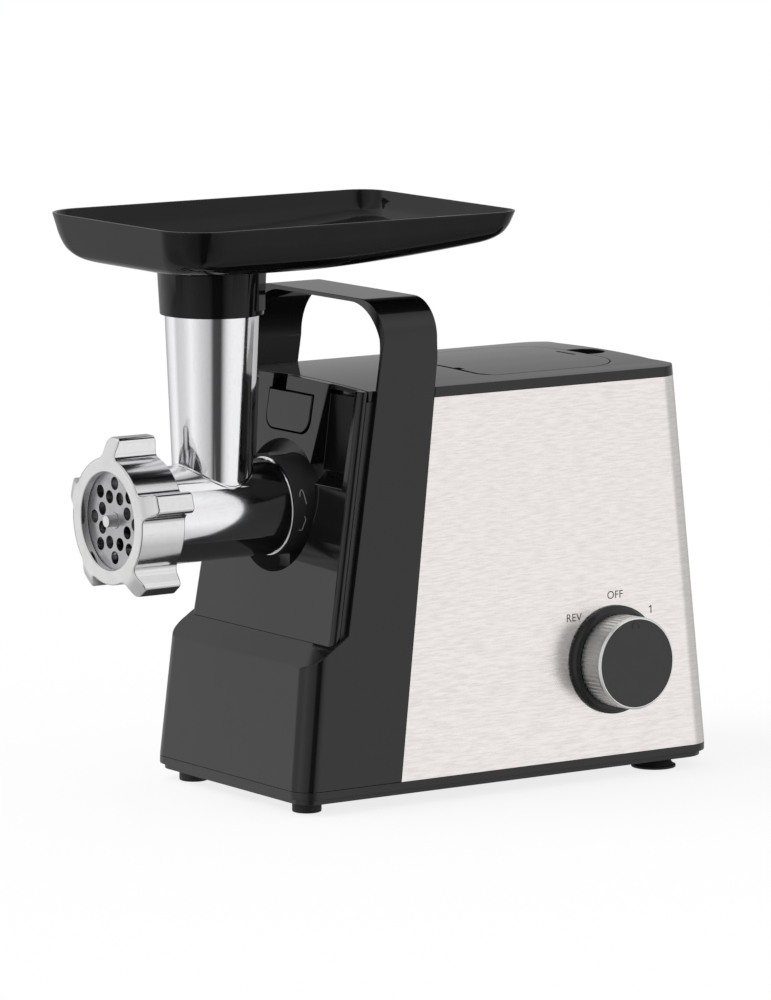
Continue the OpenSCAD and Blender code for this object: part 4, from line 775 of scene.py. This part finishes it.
def pick(piece, kind, test):
    """Selects the points, edges or faces of the piece that pass a test."""
    bpy.context.tool_settings.mesh_select_mode = SELECT_MODES[kind]
    bpy.ops.mesh.select_all(action="DESELECT")
    mesh = bmesh.from_edit_mesh(piece.data)
    mesh.normal_update()
    parts = {"VERT": mesh.verts, "EDGE": mesh.edges, "FACE": mesh.faces}[kind]
    chosen = [part for part in parts if test(part)]
    for part in chosen:
        part.select_set(True)
    bmesh.update_edit_mesh(piece.data)
    return len(chosen)


def combine(piece, other, operation):
    """Boolean of two closed pieces; the other one is used up."""
    modifier = piece.modifiers.new(operation.lower(), "BOOLEAN")
    modifier.object = other
    modifier.operation = operation
    modifier.solver = "EXACT"
    only(piece)
    bpy.ops.object.modifier_apply(modifier=modifier.name)
    bpy.data.objects.remove(other, do_unlink=True)
    return piece


def open_edges(piece):
    mesh = bmesh.new()
    mesh.from_mesh(piece.data)
    count = sum(1 for edge in mesh.edges if not edge.is_manifold)
    mesh.free()
    return count


def describe(label, piece):
    print(label, "faces:", len(piece.data.polygons), "open edges:", open_edges(piece))


def outward():
    bpy.ops.mesh.select_all(action="SELECT")
    bpy.ops.mesh.normals_make_consistent(inside=False)


def turn_outward(piece):
    edit(piece)
    outward()
    leave()


def from_points(name, points, edges=(), faces=()):
    """A new piece from bare points with edges or faces."""
    mesh = bpy.data.meshes.new(name)
    mesh.from_pydata(points, list(edges), list(faces))
    piece = bpy.data.objects.new(name, mesh)
    bpy.context.scene.collection.objects.link(piece)
    return piece


print("helpers ready")

# %% [markdown]
# ## The hopper tray
# The tray is one glossy moulding: steep walls that turn softly into a shallow floor, which
# runs down to the feed throat and rises towards the rear. It could be a lofted surface; here
# it starts as a flat plate the size of the rim. Its corners are rounded, tighter at the rear,
# and the plate is then pushed down level by level, each level a little smaller.

# %% Tray: the levels of its wall
TRAY_W = 167.4
TRAY_FRONT = -82.2
TRAY_REAR = 163.3
TRAY_RIM = 355.5
TRAY_DEPTH = 31.5
TRAY_REAR_DEPTH = 19.4
TRAY_WALL = 2.5
FRONT_CORNER = 28.5
REAR_CORNER = 18.0
TRAY_LONG = TRAY_REAR - TRAY_FRONT
TRAY_MIDDLE = (TRAY_FRONT + TRAY_REAR) / 2
# The ends draw in less than the sides: 0.8 of it at the front and 0.6 at the rear
END_DRAW = 1.4
DRAW_SHIFT = 0.1
# Distance in from the rim, and share of the depth, along the wall. The last points ease the
# slope to almost nothing, or the glossy floor would show a crease where it turns flat.
WALL_CURVE = [
    (0, 0), (2.0, 0.23), (4.2, 0.46), (8.6, 0.70), (17, 0.87), (33, 0.965), (46, 0.988),
    (56, 0.997), (66, 1.0),
]


def flowing(points, steps):
    """Extra points between the given ones, on a smooth curve through all of them."""
    line = [points[0]]
    for i in range(len(points) - 1):
        a, b = points[max(i - 1, 0)], points[i]
        c, d = points[i + 1], points[min(i + 2, len(points) - 1)]
        for step in range(1, steps + 1):
            t = step / steps
            line.append(tuple(
                0.5 * (2 * q + (r - p) * t + (2 * p - 5 * q + 4 * r - s) * t * t
                       + (3 * q - p - 3 * r + s) * t ** 3)
                for p, q, r, s in zip(a, b, c, d)
            ))
    return line


def push_down(levels):
    for (draw0, share0), (draw1, share1) in zip(levels, levels[1:]):
        drop = (share1 - share0) * TRAY_DEPTH * MM
        bpy.ops.mesh.extrude_region_move(TRANSFORM_OT_translate={"value": (0, 0, -drop)})
        wide = (TRAY_W - 2 * draw1) / (TRAY_W - 2 * draw0)
        long = (TRAY_LONG - END_DRAW * draw1) / (TRAY_LONG - END_DRAW * draw0)
        pivot = at(0, TRAY_MIDDLE + DRAW_SHIFT * draw0, TRAY_RIM)
        bpy.ops.transform.resize(value=(wide, long, 1), center_override=pivot)
        bpy.ops.transform.translate(value=(0, DRAW_SHIFT * (draw1 - draw0) * MM, 0))


def tray_shell():
    deselect()
    bpy.ops.mesh.primitive_plane_add(size=1, location=at(0, TRAY_MIDDLE, TRAY_RIM))
    tray = bpy.context.object
    tray.name = "hopper_tray_finished"
    tray.scale = (TRAY_W * MM, TRAY_LONG * MM, 1)
    settle(tray)
    edit(tray)
    for behind, radius in ((True, REAR_CORNER), (False, FRONT_CORNER)):
        limit = at(0, TRAY_MIDDLE, 0).y
        edge = (TRAY_W / 2 - 0.1) * MM
        pick(tray, "VERT", lambda v: (v.co.y > limit) == behind
             and abs(v.co.x - HEAD.x) > edge)
        bpy.ops.mesh.bevel(offset_type="OFFSET", offset=radius * MM, segments=14,
                           affect="VERTICES", clamp_overlap=False)
    pick(tray, "FACE", lambda f: True)
    push_down(flowing(WALL_CURVE, 4))
    outward()
    pick(tray, "FACE", lambda f: f.normal.z > 0.9 and f.calc_center_median().z > at(0, 0, 355).z)
    bpy.ops.mesh.delete(type="FACE")
    return tray


tray = tray_shell()
print("tray edges open at the rim:", open_edges(tray))

# %% [markdown]
# The floor rises towards the rear. The shell is first cut into strips across, so that it can
# bend. Then a lattice squeezes the rear upwards: its upper points stay at the rim and its
# lower points follow the floor line. Last, the shell gets its wall, its rim is levelled at
# the height that it started from, and the rim's edges are rounded.

# %% Tray: floor line, wall and rim
STRIPS = 26
RISE_START = 20
RISE_POWER = 1.53
RIM_EDGE = 0.8


def depth_share(y):
    t = max(0.0, y - RISE_START) / (TRAY_REAR - RISE_START)
    return 1 - (1 - TRAY_REAR_DEPTH / TRAY_DEPTH) * t ** RISE_POWER


def cut_strips(piece):
    leave()
    edit(piece)
    for i in range(1, STRIPS):
        y = TRAY_FRONT + TRAY_LONG * i / STRIPS
        bpy.ops.mesh.select_all(action="SELECT")
        bpy.ops.mesh.bisect(plane_co=at(0, y, 0), plane_no=(0, 1, 0))
    leave()


def raise_rear(piece):
    deselect()
    bpy.ops.object.add(
        type="LATTICE", location=at(0, TRAY_MIDDLE, TRAY_RIM - TRAY_DEPTH / 2))
    cage = bpy.context.object
    cage.scale = (TRAY_W * MM, TRAY_LONG * MM, TRAY_DEPTH * MM)
    grid = cage.data
    grid.points_u, grid.points_v, grid.points_w = 2, STRIPS + 1, 2
    for way in "uvw":
        setattr(grid, "interpolation_type_" + way, "KEY_LINEAR")
    for i, point in enumerate(grid.points):
        row = (i // 2) % (STRIPS + 1)
        if i < 2 * (STRIPS + 1):
            y = TRAY_FRONT + TRAY_LONG * row / STRIPS
            point.co_deform.z = 0.5 - depth_share(y)
    bend = piece.modifiers.new("floor line", "LATTICE")
    bend.object = cage
    apply_all(piece)
    bpy.data.objects.remove(cage, do_unlink=True)


cut_strips(tray)
raise_rear(tray)
wall = tray.modifiers.new("wall", "SOLIDIFY")
wall.thickness = TRAY_WALL * MM
wall.offset = -1
wall.use_even_offset = True
apply_all(tray)
edit(tray)
raised = pick(tray, "VERT", lambda v: v.co.z > at(0, 0, TRAY_RIM - 0.2).z)
bpy.ops.transform.resize(value=(1, 1, 0), center_override=at(0, 0, TRAY_RIM))
leave()
print("rim points levelled:", raised)
round_edges(tray, RIM_EDGE, 3, crease=45, shade=30)
describe("tray", tray)

# %% [markdown]
# Under the floor a collar slips over the feed tube, with a small key at its side. It is
# added to the tray, and then the seat for the tube and the throat are bored through.

# %% Tray: collar and throat
COLLAR_Z = 296.5
SEAT_Z = 319.2
THROAT_R = 25.2
FEED_TOP_R = 28.4
SEAT_PLAY = 0.12
COLLAR_FOOT_R = 31.3
COLLAR_TOP_R = 33.0
COLLAR_TOP_Z = 325.2
COLLAR_KEY_SIZE = (4.8, 10, 23.5)
COLLAR_KEY_TURN = math.radians(32)
COLLAR_KEY_OUT = 30.7
COLLAR_KEY_Z = 311.25
ROUND = 128


def upright(radius, z0, z1, radius_top=None):
    """A closed round bar or cone about the feed tube's axis."""
    deselect()
    bpy.ops.mesh.primitive_cone_add(
        vertices=ROUND, radius1=radius * MM, radius2=(radius_top or radius) * MM,
        depth=(z1 - z0) * MM, location=at(0, FEED_Y, (z0 + z1) / 2))
    return settle(bpy.context.object)


def tray_key():
    deselect()
    bpy.ops.mesh.primitive_cube_add(size=1)
    key = bpy.context.object
    key.scale = [side * MM for side in COLLAR_KEY_SIZE]
    key.rotation_euler = (0, 0, COLLAR_KEY_TURN)
    x = COLLAR_KEY_OUT * math.cos(COLLAR_KEY_TURN)
    y = FEED_Y + COLLAR_KEY_OUT * math.sin(COLLAR_KEY_TURN)
    key.location = at(x, y, COLLAR_KEY_Z)
    settle(key)
    round_edges(key, 0.5, 2)
    return key


collar = upright(COLLAR_FOOT_R, COLLAR_Z, COLLAR_TOP_Z, COLLAR_TOP_R)
edit(collar)
pick(collar, "EDGE", lambda e: all(v.co.z < at(0, 0, COLLAR_Z + 0.1).z for v in e.verts))
bpy.ops.mesh.bevel(offset=0.5 * MM, segments=2)
leave()
combine(tray, collar, "UNION")
combine(tray, tray_key(), "UNION")
combine(tray, upright(FEED_TOP_R + SEAT_PLAY, COLLAR_Z - 5, SEAT_Z), "DIFFERENCE")
combine(tray, upright(THROAT_R, COLLAR_Z, 400), "DIFFERENCE")
even_shading(tray, 30)
stands_for(tray, "hopper_tray", "tray_gloss")
describe("tray", tray)

# %% [markdown]
# ## The head
# The head is one aluminium casting: a level tube for the auger and a feed tube that widens
# as it rises. Boolean joins keep both tubes exactly round, which polished metal needs,
# because every flat spot would break its reflections. The feed tube is drawn upwards from a
# disc, one extrusion at a time.

# %% Head: tubes
TUBE_R = 29.5
BORE_R = 26.0
TUBE_FRONT = -59.4
TUBE_REAR = 30.0
THREAD_SEAT = (34.9, -77.5, -57.4)
SPIGOT_R = 25.0
SPIGOT_REAR = 48.7
CONE_Z = 197.45
FEED_FOOT_R = 24.0
FEED_TOP = 318.0


def level(radius, y0, y1, vertices=192):
    """A closed round bar along the head axis."""
    deselect()
    bpy.ops.mesh.primitive_cylinder_add(
        vertices=vertices, radius=radius * MM, depth=(y1 - y0) * MM,
        location=at(0, (y0 + y1) / 2, AXIS_Z), rotation=(math.radians(90), 0, 0))
    return settle(bpy.context.object)


def feed_tube():
    deselect()
    bpy.ops.mesh.primitive_circle_add(
        vertices=192, radius=FEED_FOOT_R * MM, fill_type="NGON", location=at(0, FEED_Y, AXIS_Z))
    tube = settle(bpy.context.object)
    edit(tube)
    pick(tube, "FACE", lambda f: True)
    radius, z = FEED_FOOT_R, AXIS_Z
    for new_radius, new_z in (
            (FEED_FOOT_R, CONE_Z), (FEED_TOP_R, COLLAR_Z), (FEED_TOP_R, FEED_TOP)):
        bpy.ops.mesh.extrude_region_move(
            TRANSFORM_OT_translate={"value": (0, 0, (new_z - z) * MM)})
        grow = new_radius / radius
        bpy.ops.transform.resize(value=(grow, grow, 1), center_override=at(0, FEED_Y, new_z))
        radius, z = new_radius, new_z
    outward()
    leave()
    return tube


def chamfer_ring(piece, y, radius, width):
    """A small chamfer on the round edges of the piece at depth y."""
    edit(piece)
    count = pick(piece, "EDGE", lambda e: all(
        abs(v.co.y - at(0, y, 0).y) < 0.00002
        and abs((v.co.xz - HEAD.xz).length - radius * MM) < 0.00005 for v in e.verts))
    bpy.ops.mesh.bevel(offset=width * MM, segments=2)
    leave()
    return count


head = level(TUBE_R, TUBE_FRONT, TUBE_REAR)
head.name = "grinder_head_finished"
print("chamfered edges:", chamfer_ring(head, TUBE_REAR, TUBE_R, 0.7))
combine(head, level(*THREAD_SEAT), "UNION")
combine(head, level(SPIGOT_R, TUBE_REAR - 1, SPIGOT_REAR), "UNION")
combine(head, feed_tube(), "UNION")
describe("head", head)

# %% [markdown]
# Inside, the head is bored for the auger, the plate and the drive. Three lugs at the rear
# lock it in the collar of the housing: one is made, and the others are turned copies.

# %% Head: bores and lugs
LUG_SIZE = (11.2, 5, 3.6)
LUG_Y = 44
LUG_OUT = 25.8
THROAT_FOOT_R = 20.5
THROAT_FOOT = AXIS_Z - 1.3
# Radius, front and rear of each bore: auger, plate, the auger's bush, inside of the spigot
HEAD_BORES = [(BORE_R, -90, 24), (31.1, -90, -73.6), (12, -60, 60), (20, 31, 60)]


def bayonet_lug(turn):
    deselect()
    bpy.ops.mesh.primitive_cube_add(size=1, location=at(0, LUG_Y, AXIS_Z + LUG_OUT))
    lug = bpy.context.object
    lug.scale = [side * MM for side in LUG_SIZE]
    settle(lug)
    round_edges(lug, 0.4, 2)
    edit(lug)
    bpy.ops.mesh.select_all(action="SELECT")
    bpy.ops.transform.rotate(value=math.radians(turn), orient_axis="Y", center_override=HEAD)
    leave()
    return lug


for turn in (0, 120, 240):
    combine(head, bayonet_lug(turn), "UNION")
    print("lug at", turn, "open edges:", open_edges(head))
for radius, y0, y1 in HEAD_BORES:
    combine(head, level(radius, y0, y1), "DIFFERENCE")
    print("bore", radius, "open edges:", open_edges(head))
combine(head, upright(THROAT_FOOT_R, THROAT_FOOT, FEED_TOP + 1, THROAT_R), "DIFFERENCE")
edit(head)
weld(MERGE / 2)
leave()
describe("head", head)

# %% [markdown]
# Where the two tubes meet, the casting has a fine raised seam. It is a thin round cord that
# follows the crossing curve, half sunk into the metal. A second one rings the level tube
# just in front of the collar.

# %% Head: seam between the tubes
SEAM_R = 0.95
BEAD_R = 0.5
BEAD_Y = TUBE_REAR - 0.7


def crossing(turn):
    """The point where the feed tube meets the level tube, seen from the feed axis."""
    radius = FEED_FOOT_R
    for _ in range(4):
        x = radius * math.cos(turn)
        z = AXIS_Z + math.sqrt(TUBE_R ** 2 - x * x)
        grow = (FEED_TOP_R - FEED_FOOT_R) / (COLLAR_Z - CONE_Z)
        radius = FEED_FOOT_R + max(0.0, z - CONE_Z) * grow
    return at(x, FEED_Y + radius * math.sin(turn), z)


def cord_along(points, radius, name, closed):
    data = bpy.data.curves.new(name, "CURVE")
    data.dimensions = "3D"
    line = data.splines.new("POLY")
    line.points.add(len(points) - 1)
    for spot, point in zip(line.points, points):
        spot.co = (*point, 1)
    line.use_cyclic_u = closed
    data.bevel_depth = radius * MM
    data.bevel_resolution = 3
    data.use_fill_caps = True
    piece = bpy.data.objects.new(name, data)
    bpy.context.scene.collection.objects.link(piece)
    only(piece)
    bpy.ops.object.convert(target="MESH")
    piece = bpy.context.object
    turn_outward(piece)
    return piece


def round_the_tube(turn):
    return at(TUBE_R * math.cos(turn), BEAD_Y, AXIS_Z + TUBE_R * math.sin(turn))


for name, path, radius in (("seam", crossing, SEAM_R), ("bead", round_the_tube, BEAD_R)):
    cord = cord_along([path(math.radians(2 * i)) for i in range(180)], radius, name, True)
    only(head)
    cord.select_set(True)
    bpy.ops.object.join()
bpy.ops.object.shade_smooth_by_angle(angle=math.radians(30))
stands_for(head, "grinder_head", "cast_aluminium")
describe("head", head)

# %% [markdown]
# ## The locking ring
# Five rounded lobes grow out of a heavy ring. A jeweller would draw its outline first, and
# so do we: one lobe is made of straight flanks, round corners and soft fillets into the ring,
# and it is repeated five times round the axis. The outline is then extruded.

# %% Ring: outline
RING_FACE = -84.4
RING_BACK = -53.6
RING_R = 38.4
LOBE_R = 50.0
LOBE_HALF = 6.5
LOBE_CORNER = 3.5
FILLET = 5.0
LOBES = 5


def arc(cx, cz, radius, start, end, steps):
    return [
        (cx + radius * math.cos(math.radians(start + (end - start) * i / steps)),
         cz + radius * math.sin(math.radians(start + (end - start) * i / steps)))
        for i in range(steps + 1)
    ]


def lobe_outline():
    """Right half, then left half, of a lobe that points straight up."""
    fx = LOBE_HALF + FILLET
    fz = math.sqrt((RING_R + FILLET) ** 2 - fx * fx)
    lean = math.degrees(math.atan2(fz, fx))
    rest = 90 - 360 / LOBES / 2
    ring = arc(0, 0, RING_R, rest, lean, 16)[1:]
    foot = arc(fx, fz, FILLET, lean - 180, -180, 8)[1:]
    corner = arc(LOBE_HALF - LOBE_CORNER, LOBE_R - LOBE_CORNER, LOBE_CORNER, 0, 90, 8)
    right = ring + foot + corner
    return right + [(-x, z) for x, z in reversed(right)]


def turned_about(points, turn):
    c, s = math.cos(math.radians(turn)), math.sin(math.radians(turn))
    return [(x * c - z * s, x * s + z * c) for x, z in points]


def ring_blank():
    outline = []
    for i in range(LOBES):
        outline += turned_about(lobe_outline(), i * 360 / LOBES)
    corners = [at(x, RING_BACK, AXIS_Z + z) for x, z in outline]
    blank = from_points("locking_ring_finished", corners, faces=[list(range(len(corners)))])
    edit(blank)
    weld(MERGE)
    bpy.ops.mesh.select_all(action="SELECT")
    reach = (RING_FACE - RING_BACK) * MM
    bpy.ops.mesh.extrude_region_move(TRANSFORM_OT_translate={"value": (0, reach, 0)})
    outward()
    leave()
    return blank


ring = ring_blank()
describe("ring outline", ring)

# %% [markdown]
# On a lathe the ring would now be faced and bored. The face is left flat in the middle and
# falls back over the lobes. Each cutter is the section of the waste, spun about the axis.

# %% Ring: turning
def lathe(section, name, steps=160):
    """A closed solid of revolution about the head axis from (radius, depth) pairs."""
    corners = [at(r, y, AXIS_Z) for r, y in section]
    count = len(corners)
    piece = from_points(name, corners, edges=[(i, (i + 1) % count) for i in range(count)])
    edit(piece)
    bpy.ops.mesh.select_all(action="SELECT")
    bpy.ops.mesh.spin(steps=steps, angle=2 * math.pi, center=HEAD, axis=(0, 1, 0))
    weld(MERGE)
    outward()
    leave()
    return piece


FACING = [(37.9, RING_FACE - 1), (37.9, RING_FACE), (43, RING_FACE + 1.7), (48, RING_FACE + 4.2),
          (52, RING_FACE + 7.0), (60, RING_FACE + 7.0), (60, RING_FACE - 1)]
# Radius, front and rear of each bore: the opening, the plate's seat and the thread
RING_BORES = [(29.5, -95, 0), (31.15, -79.1, 0), (34.98, -78.1, 0)]
waste = lathe(FACING, "facing waste")
describe("waste", waste)
combine(ring, waste, "DIFFERENCE")
for radius, y0, y1 in RING_BORES:
    combine(ring, level(radius, y0, y1), "DIFFERENCE")
round_edges(ring, 0.9, 3, crease=28, shade=34)
describe("ring", ring)

# %% [markdown]
# The front is left satin from the lathe, and the sides are polished. The ring carries two
# materials: faces that look forwards get the satin one.

# %% Ring: two finishes
stands_for(ring, "locking_ring", "ring_aluminium")
ring.data.materials.append(FINISHES["ring_face"])
lobes_end = at(0, RING_FACE + 9, 0).y
for face in ring.data.polygons:
    face.material_index = int(face.normal.y < -0.75 and face.center.y < lobes_end)
print("satin faces:", sum(face.material_index for face in ring.data.polygons))

# %% [markdown]
# ## Printed marks
# The switch has three places, and each is named in thin dark letters on the steel. They are
# text turned into a mesh a few hundredths of a millimetre thick, so that the print lies on
# the panel from every side. The same is done with two small lock marks on the collar.

# %% Ink
def ink(name, colour, rough):
    f = Finish(name, colour, roughness=rough)
    skin = f.group(MOULDED_SKIN, Grain=6000.0, Ripple=400.0)
    f.rough(skin["Smudge"], rough, rough + 0.12)
    f.tint(skin["Smudge"], tuple(c * 1.2 for c in colour))
    FINISHES[name] = f.material


ink("dark_ink", (0.045, 0.043, 0.043), 0.5)
ink("white_ink", (0.58, 0.58, 0.58), 0.45)

# %% Words round the switch
LETTER_HEIGHT = 6.9
LETTER_GAP = 1.02
# Each letter's outline is drawn in by this much
THINNING = 0.01
PRINT_DEPTH = 0.04
SIDE_FOOT_X = 83.1
SIDE_FOOT_Z = 15.1
SIDE_TILT = Matrix.Rotation(-KNOB_TILT, 4, "Y")


def panel_frame(y, z):
    """Where a mark at y and z lies on the right side panel: its X runs back, its Y up."""
    x = SIDE_FOOT_X - SIDE_LEAN * (z - SIDE_FOOT_Z)
    stand = Matrix(((0, 0, 1, 0), (1, 0, 0, 0), (0, 1, 0, 0), (0, 0, 0, 1)))
    return Matrix.Translation(at(x, y, z)) @ SIDE_TILT @ stand


def printed_on(mark, node, finish):
    """The mark lies on a solid, moves with it and has an ink of its own."""
    mark.data.materials.clear()
    mark.data.materials.append(FINISHES[finish])
    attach(mark, BODY_OF[node])
    return mark


def word(text, y, z):
    """A word beside the knob; y and z are measured from the knob's axis."""
    deselect()
    bpy.ops.object.text_add()
    letters = bpy.context.object
    letters.name = "dial_" + text.lower()
    letters.data.body = text
    letters.data.size = LETTER_HEIGHT * MM
    letters.data.align_x = "CENTER"
    letters.data.align_y = "CENTER"
    letters.data.extrude = PRINT_DEPTH * MM
    letters.data.offset = -THINNING * MM
    letters.data.space_character = LETTER_GAP
    bpy.ops.object.convert(target="MESH")
    letters = bpy.context.object
    letters.matrix_world = panel_frame(KNOB_Y + y, KNOB_Z + z)
    settle(letters)
    return printed_on(letters, "steel_wrap", "dark_ink")


for text, y, z in (("REV", -29.9, 28.3), ("OFF", 1.6, 39.7)):
    label = word(text, y, z)
    print(text, "points:", len(label.data.vertices))

# %% [markdown]
# The font's figure one is a bare bar, which nobody would read as a number. So this one is
# drawn: a stem and a flag, as an outline that is extruded as thin as the letters.

# %% The figure one
FIGURE_ONE = [
    (0.36, -2.5), (0.36, 2.5), (-0.2, 2.5), (-1.5, 1.7), (-1.5, 0.95), (-0.36, 1.6),
    (-0.36, -2.5),
]
FIGURE_Y, FIGURE_Z = 29.0, 28.5
outline = [(x * MM, y * MM, -PRINT_DEPTH * MM) for x, y in FIGURE_ONE]
figure = from_points("dial_1", outline, faces=[list(range(len(outline)))])
edit(figure)
bpy.ops.mesh.select_all(action="SELECT")
bpy.ops.mesh.extrude_region_move(TRANSFORM_OT_translate={"value": (0, 0, 2 * PRINT_DEPTH * MM)})
outward()
leave()
figure.matrix_world = panel_frame(KNOB_Y + FIGURE_Y, KNOB_Z + FIGURE_Z)
settle(figure)
printed_on(figure, "steel_wrap", "dark_ink")
print("figure one, open edges:", open_edges(figure))

# %% Lock marks on the collar
SOCKET_R = 30.12
STROKE_R = 0.24
# Each mark is a line of (depth, degrees above the axis) points on the collar
LOCK_MARKS = {
    "lock_open": [
        (34.8, 16.5), (35.3, 20.8), (36.6, 24.0), (37.4, 23.2), (37.9, 18.5), (38.9, 7.5),
    ],
    "lock_shut": [
        (37.4, -6.6), (38.3, -9.5), (38.4, -12.5), (37.6, -17.5), (37.1, -23.6), (34.6, -23.2),
    ],
}


def on_collar(depth, degrees):
    a = math.radians(degrees)
    return at(SOCKET_R * math.cos(a), depth, AXIS_Z + SOCKET_R * math.sin(a))


for name, line in LOCK_MARKS.items():
    stroke = cord_along([on_collar(*p) for p in flowing(line, 4)], STROKE_R, name, False)
    printed_on(stroke, "head_socket", "white_ink")
    print(name, "points:", len(stroke.data.vertices))
